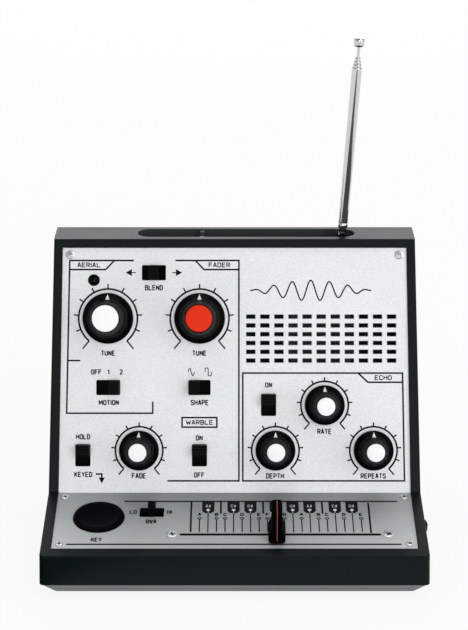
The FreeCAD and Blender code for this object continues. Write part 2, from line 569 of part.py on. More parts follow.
# ---- note slider -------------------------------------------------------------------------------
def note_slider():
    track = new_body("slider_track", LOWER * place("slot_middle", "-slot_down", "-panel_thick"))
    frame = sketch(track, "frame")
    box(frame, 0, 0, "track_long", "track_wide")
    feature(track, "Pad", "frame_pad", frame, Length="track_high", Reversed=True)
    bed = sketch(track, "bed", "YZ_Plane")
    box(bed, 0, "-track_high / 2 + 0.2", "track_wide - 2", "track_high - 2.2")
    feature(track, "Pocket", "bed_cut", bed, Length="slot_long + 4", SideType="Symmetric")
    gap = sketch(track, "top_gap")
    box(gap, 0, 0, "slot_long + 1", "tab_thick + 0.8")
    feature(track, "Pocket", "top_gap_cut", gap, Length=2.0)
    ends = sketch(track, "screw_holes")
    for s in (-1, 1):
        circle(ends, f"{s} * track_screw_span / 2", 0, 1.3)
    feature(track, "Pocket", "screw_bores", ends, Length=6.0)

    seat = LOWER * place("fader_place", "-slot_down", "-panel_thick")
    carriage = new_body("slider_carriage", seat)
    shoe = sketch(carriage, "shoe", offset=place(0, 0, "-track_high / 2 - 1.6"))
    box(shoe, 0, 0, 8, "track_wide - 2.8")
    feature(carriage, "Pad", "shoe_pad", shoe, Length=3.6)
    tab = sketch(carriage, "tab", offset=place(0, 0, "-track_high / 2 + 1.5"))
    box(tab, 0, 0, "tab_wide", "tab_thick")
    feature(carriage, "Pad", "tab_pad", tab, Length="track_high / 2 - 1.5 + panel_thick + 9")

    cap = new_body("slider_cap", LOWER * place("fader_place", "-slot_down", "fader_gap"))
    front = sketch(cap, "front_profile", "XZ_Plane")
    half, top_half, tall = "fader_wide / 2", "fader_top_wide / 2", "(fader_high - fader_gap)"
    bow_x, bow_z = f"({top_half} + 0.32)", f"({tall} * 0.27)"
    outline(front, [
        (f"-{half}", 0), (half, 0), (half, 1.4, bow_x, bow_z), (top_half, f"{tall} * 0.5"),
        (top_half, f"{tall} - 0.6"), (f"{top_half} - 0.6", tall), (f"-{top_half} + 0.6", tall),
        (f"-{top_half}", f"{tall} - 0.6"), (f"-{top_half}", f"{tall} * 0.5", f"-{bow_x}", bow_z),
        (f"-{half}", 1.4),
    ])
    feature(cap, "Pad", "fin", front, Length="fader_deep", SideType="Symmetric")
    slopes = sketch(cap, "end_slopes", "YZ_Plane")
    for s in (1, -1):
        outline(slopes, [
            (f"{s} * fader_deep / 2", 2), (f"{s} * (fader_deep / 2 + 4)", 2),
            (f"{s} * (fader_deep / 2 + 4)", f"{tall} + 2"),
            (f"{s} * fader_top_deep / 2", f"{tall} + 2"), (f"{s} * fader_top_deep / 2", tall)])
    feature(cap, "Pocket", "end_slopes_cut", slopes, Type="ThroughAll", SideType="Symmetric")
    pocket = sketch(cap, "tab_socket")
    box(pocket, 0, 0, "tab_wide", "tab_thick")
    feature(cap, "Pocket", "tab_socket_cut", pocket, Length="9 - fader_gap", Reversed=True)


# ---- key, lamp and speaker ---------------------------------------------------------------------
def key():
    """The round press key: a dished face, a retaining flange and a stem on the switch."""
    seat = LOWER * place("key_across", "-key_down", 0)
    body = new_body("trigger_key", seat)
    profile = sketch(body, "profile", "XZ_Plane")
    outline(profile, [
        (0, -6.2), (2.5, -6.2), (2.5, -3.2), ("key_flange", -3.2), ("key_flange", -1.6),
        ("key_radius", -1.6), ("key_radius", "key_rise - 0.5"), ("key_radius - 0.5", "key_rise"),
        ("key_radius - 2.4", "key_rise"), ("key_radius - 5", "key_rise - 0.65"),
        ("key_radius - 8", "key_rise - 1"), (0, "key_rise - 1.1"),
    ])
    revolved(body, "turned_form", profile)
    base = new_body("trigger_switch", seat)
    pad = sketch(base, "base", offset=place(0, 0, "-board_drop"))
    box(pad, 0, 0, 12, 12)
    feature(base, "Pad", "base_pad", pad, Length="board_drop - 8.6")
    top = sketch(base, "plunger", offset=place(0, 0, -8.6))
    circle(top, 0, 0, 3.4)
    feature(base, "Pad", "plunger_pad", top, Length=0.6)


def lamp():
    seat = UPPER * place(-72.0, 108.9, 0)
    body = new_body("indicator_bezel", seat)
    ring = sketch(body, "ring", "XZ_Plane")
    outline(ring, [(1.9, -4), ("lamp_radius - 0.45", -4), ("lamp_radius - 0.45", 0), ("lamp_radius", 0),
                   ("lamp_radius", 0.3), ("lamp_radius - 0.5", 0.8), (2.1, 0.8), (1.9, 0.6)])
    revolved(body, "turned_form", ring)
    lens = new_body("indicator_lens", seat)
    dome = sketch(lens, "dome", "XZ_Plane")
    outline(dome, [(0, -7), (1.85, -7), (1.85, 0.2), (1.4, 0.8), (0.7, 1.05), (0, 1.05)])
    revolved(lens, "turned_form", dome)


def speaker():
    seat = UPPER * place("speaker_across", "speaker_up", 0)
    frame = new_body("speaker_frame", seat)
    basket = sketch(frame, "basket", "XZ_Plane")
    outline(basket, [
        ("speaker_radius", "-panel_thick - 0.3"), ("speaker_radius", "-panel_thick - 1.8"),
        ("speaker_radius - 3", "-panel_thick - 2.2"), (13.5, -12), (13.5, -19), (0, -19), (0, -14),
        (11.5, -13), ("speaker_radius - 4.6", "-panel_thick - 1.2"),
        ("speaker_radius - 4.6", "-panel_thick - 0.3")])
    revolved(frame, "turned_form", basket)
    cone = new_body("speaker_cone", seat)
    skin = sketch(cone, "skin", "XZ_Plane")
    outline(skin, [(0, -9.5), (6, -9.9), ("speaker_radius - 5.8", -3.4),
                   ("speaker_radius - 5.8", -2.4), (6.2, -8.7), (4.4, -7.5), (2, -7), (0, -7)])
    revolved(cone, "turned_form", skin)


# ---- boards ------------------------------------------------------------------------------------
def boards():
    main = new_body("main_board", UPPER)
    edge = sketch(main, "edge", offset=place(0, 0, "-board_drop"))
    outline(edge, [(-82, 12), (82, 12), (81, "upper_length - 7"), (-81, "upper_length - 7")])
    feature(main, "Pad", "laminate", edge, Length="board_thick", Reversed=True)
    hole = sketch(main, "speaker_hole", offset=place(0, 0, "-board_drop"))
    circle(hole, "speaker_across", "speaker_up", "speaker_radius - 4")
    feature(main, "Pocket", "speaker_hole_cut", hole, Length=3.0)
    slider = new_body("slider_board", LOWER)
    edge = sketch(slider, "edge", offset=place(0, 0, "-board_drop"))
    outline(edge, [(-82, -3), (-82, "-lower_length + 7.5"), (90, "-lower_length + 7.5"), (90, -3)])
    feature(slider, "Pad", "laminate", edge, Length="board_thick", Reversed=True)


# ---- antenna -----------------------------------------------------------------------------------
def antenna():
    up = "pivot_height"
    swivel = new_body("antenna_swivel", place("pivot_across", "pivot_back", 0))
    post = sketch(swivel, "post", "XZ_Plane")
    floor = "(case_top - groove_deep)"
    outline(post, [
        (0, f"{floor} - 7.5"), ("ear_radius", f"{floor} - 7.5"), ("ear_radius", f"{floor} - 4.2"),
        (4, f"{floor} - 4.2"), (4, f"{floor} - wall - 0.5"), ("ear_radius", f"{floor} - wall - 0.5"),
        ("ear_radius", f"{floor} + 0.3"), (4.2, f"{floor} + 0.3"), (4.2, f"{floor} + 1.3"),
        (0, f"{floor} + 1.3")])
    revolved(swivel, "post_turned", post)
    ears = sketch(swivel, "ears", "XZ_Plane")
    low = "case_top - groove_deep + 1"
    outline(ears, [("ear_radius", low), ("ear_radius", up, 0, f"{up} + ear_radius"),
                   ("-ear_radius", up), ("-ear_radius", low)])
    feature(swivel, "Pad", "ears_pad", ears, Length="tongue_thick + 0.2 + ear_thick * 2",
            SideType="Symmetric")
    gap = sketch(swivel, "tongue_gap", "XZ_Plane")
    box(gap, 0, f"{up} + 2.2", 12, 8.8)
    feature(swivel, "Pocket", "tongue_gap_cut", gap, Length="tongue_thick + 0.2", SideType="Symmetric")
    bore = sketch(swivel, "pin_bore", "XZ_Plane")
    circle(bore, 0, up, "pin_radius")
    feature(swivel, "Pocket", "pin_bore_cut", bore, Type="ThroughAll", SideType="Symmetric")
    axle = new_body("antenna_pin", place("pivot_across", "pivot_back", 0))
    ring = sketch(axle, "round", "XZ_Plane")
    circle(ring, 0, up, "pin_radius")
    feature(axle, "Pad", "pin_pad", ring, Length="tongue_thick + 0.2 + ear_thick * 2 + 0.6",
            SideType="Symmetric")

    tube = new_body("antenna_tube", LEAN)
    barrel = sketch(tube, "barrel", "XZ_Plane")
    inner = "(tube_radius - tube_wall)"
    outline(barrel, [("stem_radius", "tube_start"), ("tube_radius - 0.9", "tube_start"),
                     ("tube_radius", "tube_start + 0.9"), ("tube_radius", "tube_end - 0.4"),
                     ("tube_radius - 0.2", "tube_end"), (inner, "tube_end"), (inner, "tube_start + 4"),
                     ("stem_radius", "tube_start + 4")])
    revolved(tube, "barrel_turned", barrel)

    # The knuckle swings on the pin, and its stem is pressed into the tube's foot.
    knuckle = new_body("antenna_knuckle", LEAN)
    stem = sketch(knuckle, "stem", "XZ_Plane")
    outline(stem, [(0, "stem_start"), ("stem_radius", "stem_start"), ("stem_radius", "tube_start + 4"),
                   (0, "tube_start + 4")])
    revolved(knuckle, "stem_turned", stem)
    tongue = sketch(knuckle, "tongue", "XZ_Plane")
    outline(tongue, [(1.7, "tube_start"), (-1.7, "tube_start"), (-1.7, 0, 0, -1.7), (1.7, 0)])
    feature(knuckle, "Pad", "tongue_pad", tongue, Length="tongue_thick", SideType="Symmetric")
    eye = sketch(knuckle, "eye", "XZ_Plane")
    circle(eye, 0, 0, "pin_radius + 0.05")
    feature(knuckle, "Pocket", "eye_cut", eye, Type="ThroughAll", SideType="Symmetric")

    outer = inner
    for n, name in enumerate(("second", "third", "fourth"), start=1):
        radius = f"({outer} - tube_fit)"
        bore_r = f"({radius} - tube_wall)"
        low, high = f"tube_start + 4.5 + {n} * 1.2", f"tube_end + ring_step * {n}"
        section = new_body(f"antenna_{name}_section", LEAN)
        wall = sketch(section, "wall", "XZ_Plane")
        outline(wall, [(bore_r, low), (radius, low), (radius, f"{high} - 0.3"),
                       (f"{radius} - 0.15", high), (bore_r, high)])
        revolved(section, "wall_turned", wall)
        outer = bore_r
    tip = new_body("antenna_rod", LEAN)
    core = sketch(tip, "core", "XZ_Plane")
    outline(core, [(0, "tube_start + 10"), (f"{outer} - tube_fit", "tube_start + 10"),
                   (f"{outer} - tube_fit", "tube_start + 16"), ("rod_radius", "tube_start + 16.5"),
                   ("rod_radius", "tip_start"), (0, "tip_start")])
    revolved(tip, "core_turned", core)
    button = new_body("antenna_tip", LEAN)
    bead = sketch(button, "bead", "XZ_Plane")
    side, end = "tip_radius", "antenna_long"
    outline(bead, [(0, "tip_start"), (f"{side} - 0.8", "tip_start"), (side, "tip_start + 0.9"),
                   (side, f"{end} - 1.2"), (f"{side} - 0.4", f"{end} - 0.4"), (f"{side} - 1.2", end), (0, end)])
    revolved(button, "bead_turned", bead)

    clip = new_body("antenna_clip", place(-16.7, "pivot_back", "case_top - groove_deep"))
    saddle = sketch(clip, "saddle", "YZ_Plane")
    bed = "(pivot_height - case_top + groove_deep - tube_radius - 0.4)"
    grip, rim = "(tube_radius + 0.3)", "groove_deep - 0.6"
    outline(saddle, [
        ("-groove_radius", 0), ("groove_radius", 0), ("groove_radius", rim), (f"{grip} + 0.6", rim),
        (grip, f"{rim} - 1"), (grip, bed), (f"-{grip}", bed), (f"-{grip}", f"{rim} - 1"),
        (f"-{grip} - 0.6", rim), ("-groove_radius", rim)])
    feature(clip, "Pad", "saddle_pad", saddle, Length=2.2, SideType="Symmetric")


# ---- volume wheel ------------------------------------------------------------------------------
def volume():
    seat = LOWER * place("wheel_across", "-wheel_down", "-wheel_drop - wheel_thick / 2")
    wheel = new_body("volume_wheel", seat)
    rim = sketch(wheel, "rim")
    circle(rim, 0, 0, "wheel_radius")
    feature(wheel, "Pad", "rim_pad", rim, Length="wheel_thick")
    notch = sketch(wheel, "notch")
    outline(notch, [("wheel_radius - 0.35", 0), ("wheel_radius + 0.4", 0.5), ("wheel_radius + 0.4", -0.5)])
    first = feature(wheel, "Pocket", "notch_cut", notch, Type="ThroughAll", Reversed=True)
    knurl = wheel.newObject("PartDesign::PolarPattern", "knurl")
    knurl.Originals = [first]
    knurl.Axis = (notch, ["N_Axis"])
    knurl.Angle = 360
    knurl.Occurrences = 32
    wheel.Tip = knurl
    doc.recompute()
    box_of = new_body("volume_potentiometer", seat)
    case = sketch(box_of, "case", offset=place(0, 0, "wheel_drop + wheel_thick / 2 - board_drop"))
    box(case, -0.5, 0, 8, 10)
    feature(box_of, "Pad", "case_pad", case, Length="board_drop - wheel_drop - wheel_thick / 2 - 0.4")


# ---- base --------------------------------------------------------------------------------------
def tray_ring(drawing, inset, radius):
    soft_box(drawing, 0, 0, f"case_width - 2 * ({inset})", f"case_depth - 2 * ({inset})", radius)


def base():
    tray = new_body("base_tray")
    wide = sketch(tray, "top_ring", offset=place(0, 0, "case_base"))
    tray_ring(wide, "tray_inset", 2)
    narrow = sketch(tray, "bottom_ring", offset=place(0, 0, "foot_rise"))
    tray_ring(narrow, "tray_inset + tray_flare", 2)
    loft = tray.newObject("PartDesign::AdditiveLoft", "flared_tray")
    loft.Profile = wide
    loft.Sections = [narrow]
    doc.recompute()
    lip = sketch(tray, "lip", offset=place(0, 0, "case_base"))
    tray_ring(lip, "wall + 0.3", 1)
    feature(tray, "Pad", "lip_pad", lip, Length="lip_rise")
    well = sketch(tray, "well", offset=place(0, 0, "case_base + lip_rise"))
    tray_ring(well, "wall + 7.5", 1)
    feature(tray, "Pocket", "well_cut", well,
            Length="case_base + lip_rise - foot_rise - floor_thick")
    bay_middle = "bay_front + bay_long / 2"
    bay = sketch(tray, "bay", offset=place(0, 0, "foot_rise + floor_thick / 2"))
    box(bay, "bay_across", bay_middle, "bay_wide + 4", "bay_long + 4")
    feature(tray, "Pad", "bay_pad", bay, Length="bay_high + 2 - floor_thick / 2")
    room = sketch(tray, "room")
    box(room, "bay_across", bay_middle, "bay_wide", "bay_long")
    feature(tray, "Pocket", "room_cut", room, Length="foot_rise + bay_high", Reversed=True)
    # the door's slot runs out through the rear flare; its upper part is wider, so lips hold the door
    slot = sketch(tray, "door_slot", "XZ_Plane", place(0, 0, "-bay_front"))
    outline(slot, door_profile("0.3"))
    feature(tray, "Pocket", "door_slot_cut", slot, Length="case_depth")
    feet = sketch(tray, "foot_seats")
    for sx, sy in FEET:
        circle(feet, f"{sx} * foot_across", f"{sy} * foot_back", "foot_radius + 0.1")
    feature(tray, "Pocket", "foot_seats_cut", feet, Length="foot_rise + 0.8", Reversed=True)

    door = new_body("battery_door")
    profile = sketch(door, "profile", "XZ_Plane", place(0, 0, "-bay_front - 0.4"))
    outline(profile, door_profile("0"))
    feature(door, "Pad", "plate", profile, Reversed=True,
            Length="case_depth / 2 - tray_inset - tray_flare - bay_front - 0.6")
    grip = sketch(door, "first_grip", offset=place(0, 0, "foot_rise"))
    box(grip, "bay_across", "bay_front + 40", 24, 0.9)
    first = feature(door, "Pocket", "first_grip_cut", grip, Length=0.5, Reversed=True)
    row = door.newObject("PartDesign::LinearPattern", "grips")
    row.Originals = [first]
    row.Direction = (grip, ["V_Axis"])
    row.Length = 8
    row.Occurrences = 5
    door.Tip = row
    doc.recompute()

    grouped("rubber_feet", [turned([("0", "0"), ("foot_radius - 0.5", "0"), ("foot_radius", "0.5"),
                                    ("foot_radius", "foot_rise + 0.75"), ("0", "foot_rise + 0.75")],
                                   place(f"{sx} * foot_across", f"{sy} * foot_back", 0))
                            for sx, sy in FEET])


def door_profile(gap):
    """A plate with a wider upper step, grown by a gap; symmetric about bay_across."""
    low, step, top = "foot_rise", f"foot_rise + door_thin - {gap}", f"foot_rise + door_thick + {gap}"
    narrow, wide = f"(bay_wide / 2 - 1 + {gap})", f"(bay_wide / 2 - 1 + door_edge + {gap})"
    right = [(narrow, low), (narrow, step), (wide, step), (wide, top)]
    left = [(f"-{x}", z) for x, z in reversed(right)]
    return [(f"bay_across + {x}", z) for x, z in right + left]


def batteries():
    """Four round cells side by side, and the sprung contacts at their ends."""
    axis = Rotation(Vector(1, 0, 0), -90)
    cells, contacts = [], []
    for n in range(4):
        across = f"bay_across + ({n} - 1.5) * 14.9"
        seat = place(across, "bay_front + 2", "foot_rise + door_thick + 0.9 + cell_radius")
        seat.Rotation = axis
        points = [("0", "0"), ("cell_radius - 0.6", "0"), ("cell_radius", "0.6"),
                  ("cell_radius", "cell_long - 1.8"), ("cell_radius - 0.6", "cell_long - 1.2"),
                  ("2.7", "cell_long - 1.2"), ("2.7", "cell_long"), ("0", "cell_long")]
        cells.append(turned(points, seat))
        for back, thick in (("bay_front + 0.1", 1.6), ("bay_front + cell_long + 2.2", 1.5)):
            contacts.append(block(Placement(), across, f"{back} + {thick / 2}", "foot_rise + 6", 10, thick, 10))
    grouped("battery_cells", cells)
    grouped("battery_contacts", contacts)


def rear_sockets():
    solids = []
    for name, across in SOCKETS.items():
        seat = Placement(Vector(across, value("case_depth / 2 - wall - 0.6"), SOCKET_HEIGHT),
                         Rotation(Vector(1, 0, 0), -90))
        outer, inner, deep = (4.4, 2.8, 10) if name == "power" else (3.0, 1.8, 12)
        body = Part.makeBox(11, 10, deep, Vector(-5.5, -5, -deep + 0.2))
        body = body.fuse(Part.makeCylinder(outer, 3.6, Vector(0, 0, 0)))
        body = body.cut(Part.makeCylinder(inner, deep + 8, Vector(0, 0, -deep + 2)))
        if name == "power":
            body = body.fuse(Part.makeCylinder(1.0, 9, Vector(0, 0, -7.5)))
        solids.append(body.removeSplitter().transformed(seat.toMatrix()))
    grouped("rear_sockets", solids)


def fasteners():
    """Cross-headed screws: six small ones hold the panel, two larger ones the slider track."""
    solids = []
    for frame, spots in ((UPPER, PANEL_SCREWS_UPPER), (LOWER, PANEL_SCREWS_LOWER)):
        for across, up in spots:
            solids.append(screw(frame * place(across, up, 0), 1.9, 0.9, 0.85, 4.4))
    for s in (-1, 1):
        spot = place(f"slot_middle + {s} * track_screw_span / 2", "-slot_down", 0)
        solids.append(screw(LOWER * spot, 2.4, 0.8, 1.2, 5.6))
    grouped("panel_screws", solids)


def screw(seat, head, rise, shank, deep):
    points = [("0", -deep), (shank, -deep), (shank, "0"), (head, "0"), (head, rise * 0.5),
              (head * 0.6, rise), ("0", rise)]
    return turned([(str(r), str(z)) for r, z in points], seat)


# ---- the whole -----------------------------------------------------------------------------------
def main():
    housing()
    front_panel()
    for name, (across, up, size) in KNOBS.items():
        knob(name, across, up, size)
    potentiometers()
    switches()
    note_slider()
    key()
    lamp()
    speaker()
    boards()
    antenna()
    volume()
    base()
    batteries()
    rear_sockets()
    fasteners()
    doc.recompute()
    for item in doc.Objects:
        if "Invalid" in item.State or "Error" in item.State:
            raise RuntimeError(f"{item.Label} failed: {item.State}")
    for piece in PIECES:
        if piece.Shape.isNull() or not piece.Shape.isValid() or not piece.Shape.Solids:
            raise RuntimeError(f"{piece.Label} has no sound shape")
    os.makedirs("parts", exist_ok=True)
    for piece in PIECES:
        piece.Shape.exportStep(f"parts/{piece.Label}.step")
    print(len(PIECES), "parts written")


main()
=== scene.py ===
"""A desktop theremin dressed for Blender: finishes on the solid parts, and the turned, printed
and lettered pieces that a solid model leaves plain. Lengths are in millimetres, apart from those
that shader nodes, the lamps, the floor and the camera use, which are in metres."""

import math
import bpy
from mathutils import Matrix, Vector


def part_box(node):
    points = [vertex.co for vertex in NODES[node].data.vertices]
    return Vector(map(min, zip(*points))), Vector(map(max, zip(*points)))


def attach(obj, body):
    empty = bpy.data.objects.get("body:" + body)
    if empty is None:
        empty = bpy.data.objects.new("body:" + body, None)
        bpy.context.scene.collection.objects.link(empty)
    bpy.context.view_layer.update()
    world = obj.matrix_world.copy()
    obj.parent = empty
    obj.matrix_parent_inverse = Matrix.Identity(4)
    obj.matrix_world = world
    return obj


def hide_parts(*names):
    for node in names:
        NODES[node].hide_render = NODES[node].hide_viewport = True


bl_info = {
    "name": "Desktop Theremin",
    "version": (1, 0, 0),
    "blender": (4, 5, 0),
    "location": "View3D > Sidebar > Theremin",
    "description": "Builds the knobs, prints, antenna and finishes of a desktop theremin",
    "category": "Object",
}

import bpy
import numpy as np
from mathutils import Matrix, Vector

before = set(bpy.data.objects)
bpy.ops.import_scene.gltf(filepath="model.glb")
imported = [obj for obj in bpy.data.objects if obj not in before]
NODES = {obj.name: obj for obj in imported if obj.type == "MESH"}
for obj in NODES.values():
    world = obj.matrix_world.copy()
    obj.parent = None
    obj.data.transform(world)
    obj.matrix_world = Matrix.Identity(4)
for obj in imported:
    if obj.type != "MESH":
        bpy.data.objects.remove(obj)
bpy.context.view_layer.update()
MM = 0.001
INK_LIFT = 0.045  # how far printing stands off the sheet
CASE_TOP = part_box("case_shell")[1][2]

# ---- where things sit ---------------------------------------------------------------------------
# A place on the sheet is across its middle and up from its fold, on the upright or on the shelf.
CREASE = (0.0, -5.6, 31.0)
UPPER_SLOPE, LOWER_SLOPE = 69.5, 9.0
PIVOT = (55.4, 49.1, 151.0)
ANTENNA_LEAN = 3.8
GROOVE_END, GROOVE_RADIUS = -43.5, 6.5  # the groove runs from here to the pivot
GROOVE_LOW, GROOVE_MARGIN = 140.0, 0.2  # below its floor, and how far the painted light on its floor reaches past its sides

# name: (across, up from the fold, size, cap finish)
KNOBS = {
    "antenna_tuning": (-64.8, 89.3, "large", "white"),
    "slide_tuning": (-17.9, 89.3, "large", "red"),
    "decay": (-48.9, 21.7, "small", "white"),
    "delay_time": (46.1, 44.9, "small", "white"),
    "delay_level": (20.9, 21.7, "small", "white"),
    "delay_feedback": (71.1, 21.7, "small", "white"),
}
KNOB_FORMS = {  # size: skirt, neck, cap radius and height
    "large": (13.0, 7.25, 6.75, 23.0),
    "small": (10.2, 5.05, 4.6, 18.5),
}
DIALS = {  # size: the arc's radius, and the radius that its ticks and its two end ticks reach
    "large": (15.05, 17.6, 20.3),
    "small": (12.15, 14.3, 16.2),
}
DIAL_END, DIAL_STEP = 140, 28  # degrees from straight up, and between ticks
SCREWS_UPPER = ((-84.2, 121.9), (84.2, 121.9))
SCREWS_LOWER = ((-86.5, -4.2), (86.5, -4.2), (-86.5, -44.3), (86.5, -44.3))
TRACK_MIDDLE, TRACK_HALF, TRACK_UP = 22.7, 53.8, -36.2
TRACK_SCREWS = ((TRACK_MIDDLE - TRACK_HALF, TRACK_UP), (TRACK_MIDDLE + TRACK_HALF, TRACK_UP))
SLIDER_SPOT = (20.9, TRACK_UP, 1.1)
KEY_SPOT = (-68.2, -21.8)
LAMP_SPOT = (-72.0, 108.9)
ARROWS_UP = 112.75
GRILLE_FIRST, GRILLE_STEP, GRILLE_SLITS = (8.3, 67.7), (7.21, 4.5), (11, 6)
SLIT_HALF = (2.34, 1.07)
NOTES = "A A# B C C# D D# E F F# G G# A A# B C C# D D# E".split()
FIRST_NOTE, NOTE_STEP = -17.6, 4.27


def seat(x=0.0, y=0.0, z=0.0, turn=0.0, axis="X"):
    """A frame at (x, y, z) millimetres, turned about one of its own axes."""
    return Matrix.Translation(Vector((x, y, z)) * MM) @ Matrix.Rotation(math.radians(turn), 4, axis)


UPPER = seat(*CREASE, UPPER_SLOPE)
LOWER = seat(*CREASE, LOWER_SLOPE)
MAST = seat(*PIVOT, ANTENNA_LEAN, "Y")


def laid(points, place):
    """Points in millimetres in a piece's own frame, carried to metres in the scene's frame."""
    turn = np.array(place.to_3x3())
    return np.asarray(points, float) @ turn.T * MM + np.array(place.translation)


# ---- meshes -------------------------------------------------------------------------------------
def new_piece(name, points, faces, body, surface, slot=None, smooth_under=32.0):
    """A mesh object at the origin with its place in its mesh, riding on a body."""
    mesh = bpy.data.meshes.new(name)
    mesh.from_pydata(np.asarray(points).tolist(), [], [list(face) for face in faces])
    mesh.validate()
    if smooth_under:
        mesh.polygons.foreach_set("use_smooth", np.ones(len(mesh.polygons), bool))
        mesh.set_sharp_from_angle(angle=math.radians(smooth_under))
    mesh.materials.append(surface)
    piece = bpy.data.objects.new(name, mesh)
    bpy.context.scene.collection.objects.link(piece)
    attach(piece, body)
    return piece


def grid_faces(rows, columns, wrap=True):
    """Quads over a grid of points that may close on itself along its columns."""
    span = columns if wrap else columns - 1
    i, j = np.meshgrid(np.arange(rows - 1), np.arange(span), indexing="ij")
    following = (j + 1) % columns
    quads = np.stack([i * columns + j, i * columns + following,
                      (i + 1) * columns + following, (i + 1) * columns + j], axis=-1)
    return quads.reshape(-1, 4)


def closed_rings(rings):
    """Rows of quads between rings of points, and a fan at each end to a pole that lies on the
    axis at the end ring's height."""
    rows, steps = rings.shape[:2]
    foot, top, last = rows * steps, rows * steps + 1, (rows - 1) * steps
    points = np.vstack([rings.reshape(-1, 3), [[0, 0, rings[0, 0, 2]], [0, 0, rings[-1, 0, 2]]]])
    this = np.arange(steps)
    following = (this + 1) % steps
    fans = np.vstack([np.stack([np.full(steps, foot), following, this], axis=1),
                      np.stack([np.full(steps, top), last + this, last + following], axis=1)])
    return points, grid_faces(rows, steps).tolist() + fans.tolist()


def turned_rings(profile, steps):
    """Rings about the axis: point(r, a) = (r cos a, r sin a, z) for each (r, z) of the profile."""
    r, z = np.asarray(profile, float).T
    a = np.linspace(0, 2 * np.pi, steps, endpoint=False)
    heights = np.repeat(z[:, None], steps, 1)
    return np.stack([np.outer(r, np.cos(a)), np.outer(r, np.sin(a)), heights], axis=-1)


def turned_piece(name, profile, steps, place, *dressing):
    """A closed surface of revolution laid in its place. The profile runs from the foot, round the outside,
    to the top; the dressing is the piece's body and finish, and a slot that is not used."""
    points, faces = closed_rings(turned_rings(profile, steps))
    return new_piece(name, laid(points, place), faces, *dressing)


def arc_through(start, middle, end, count=12):
    """Points along the circle through three points, from start to end, ends included."""
    (ax, ay), (bx, by), (cx, cy) = start, middle, end
    d = 2 * (ax * (by - cy) + bx * (cy - ay) + cx * (ay - by))
    ux = ((ax**2 + ay**2) * (by - cy) + (bx**2 + by**2) * (cy - ay) + (cx**2 + cy**2) * (ay - by)) / d
    uy = ((ax**2 + ay**2) * (cx - bx) + (bx**2 + by**2) * (ax - cx) + (cx**2 + cy**2) * (bx - ax)) / d
    a0, am, a1 = (math.atan2(y - uy, x - ux) for x, y in (start, middle, end))
    sweep = (a1 - a0) % (2 * math.pi)
    if (am - a0) % (2 * math.pi) > sweep:
        sweep -= 2 * math.pi
    a = a0 + np.linspace(0, 1, count) * sweep
    radius = math.hypot(ax - ux, ay - uy)
    return np.stack([ux + radius * np.cos(a), uy + radius * np.sin(a)], axis=-1)


# ---- finishes -----------------------------------------------------------------------------------
def feed(tree, socket, value):
    """Links an input to an output, or sets it to a number, a vector or a colour."""
    if isinstance(value, bpy.types.NodeSocket):
        tree.links.new(value, socket)
    elif isinstance(value, tuple) and len(socket.default_value) > len(value):
        socket.default_value = (*value, 1)
    else:
        socket.default_value = value


def add_node(tree, kind, inputs=None, **settings):
    """A shader node with its settings made and its inputs fed, and gives its outputs."""
    node = tree.nodes.new(f"ShaderNode{kind}")
    for name, value in settings.items():
        setattr(node, name, value)
    for name, value in (inputs or {}).items():
        feed(tree, node.inputs[name], value)
    return node.outputs


def reckon(tree, operation, first, second):
    """A Math node on two inputs, each a socket or a number."""
    return add_node(tree, "Math", {0: first, 1: second}, operation=operation)["Value"]


def mixed(tree, share, first, second, blend="MIX"):
    """A colour Mix node; the share and each colour are a socket, a number or a tuple."""
    inputs = {"Factor": share, "A": first, "B": second}
    return add_node(tree, "Mix", inputs, data_type="RGBA", blend_type=blend)["Result"]


def mixed_shaders(tree, share, first, second):
    """A Mix Shader node between two shaders' outputs."""
    return add_node(tree, "MixShader", {"Fac": share, 1: first, 2: second})["Shader"]


def parts_of(tree, vector):
    """The X, Y and Z outputs of a vector."""
    return add_node(tree, "SeparateXYZ", {"Vector": vector})


def finish(name, colour, rough, metal=0.0, grain_mm=0.3, relief=0.02, tone=0.08, brushed=1.0,
           gloss=0.5, rough_spread=0.06):
    """A satin, moulded, brushed or painted finish. Two noises on Object coordinates give a fine grain,
    which sets the tone and is pressed into the surface as relief, and a slow drift of roughness; brushed
    stretches the grain along X."""
    made = bpy.data.materials.get(name)
    if made:
        return made
    made = bpy.data.materials.new(name)
    made.use_nodes = True
    tree = made.node_tree
    place = add_node(tree, "TexCoord")["Object"]
    stretched = add_node(tree, "Mapping", {"Vector": place, "Scale": (1 / brushed, 1, 1)})["Vector"]
    grain = {"Vector": stretched, "Scale": 1 / (grain_mm * MM), "Detail": 3}
    fine = add_node(tree, "TexNoise", grain)["Fac"]
    slow = add_node(tree, "TexNoise", {"Vector": place, "Scale": 40})["Fac"]
    darker = tuple(c * (1 - tone) for c in colour)
    lighter = tuple(min(1, c * (1 + tone)) for c in colour)
    spread = {"Value": slow, "To Min": max(0.02, rough - rough_spread), "To Max": rough + rough_spread}
    pressed = {"Height": fine, "Strength": 0.5, "Distance": relief * MM}
    shader = tree.nodes["Principled BSDF"]
    for socket, value in (
        ("Metallic", metal),
        ("Specular IOR Level", gloss),
        ("Base Color", mixed(tree, fine, darker, lighter)),
        ("Roughness", add_node(tree, "MapRange", spread)["Result"]),
        ("Normal", add_node(tree, "Bump", pressed)["Normal"]),
    ):
        feed(tree, shader.inputs[socket], value)
    return made


def colour_of(made):
    """A finish's node tree, its shader's colour socket, and what feeds that socket so far."""
    tree = made.node_tree
    socket = tree.nodes["Principled BSDF"].inputs["Base Color"]
    return tree, socket, socket.links[0].from_socket


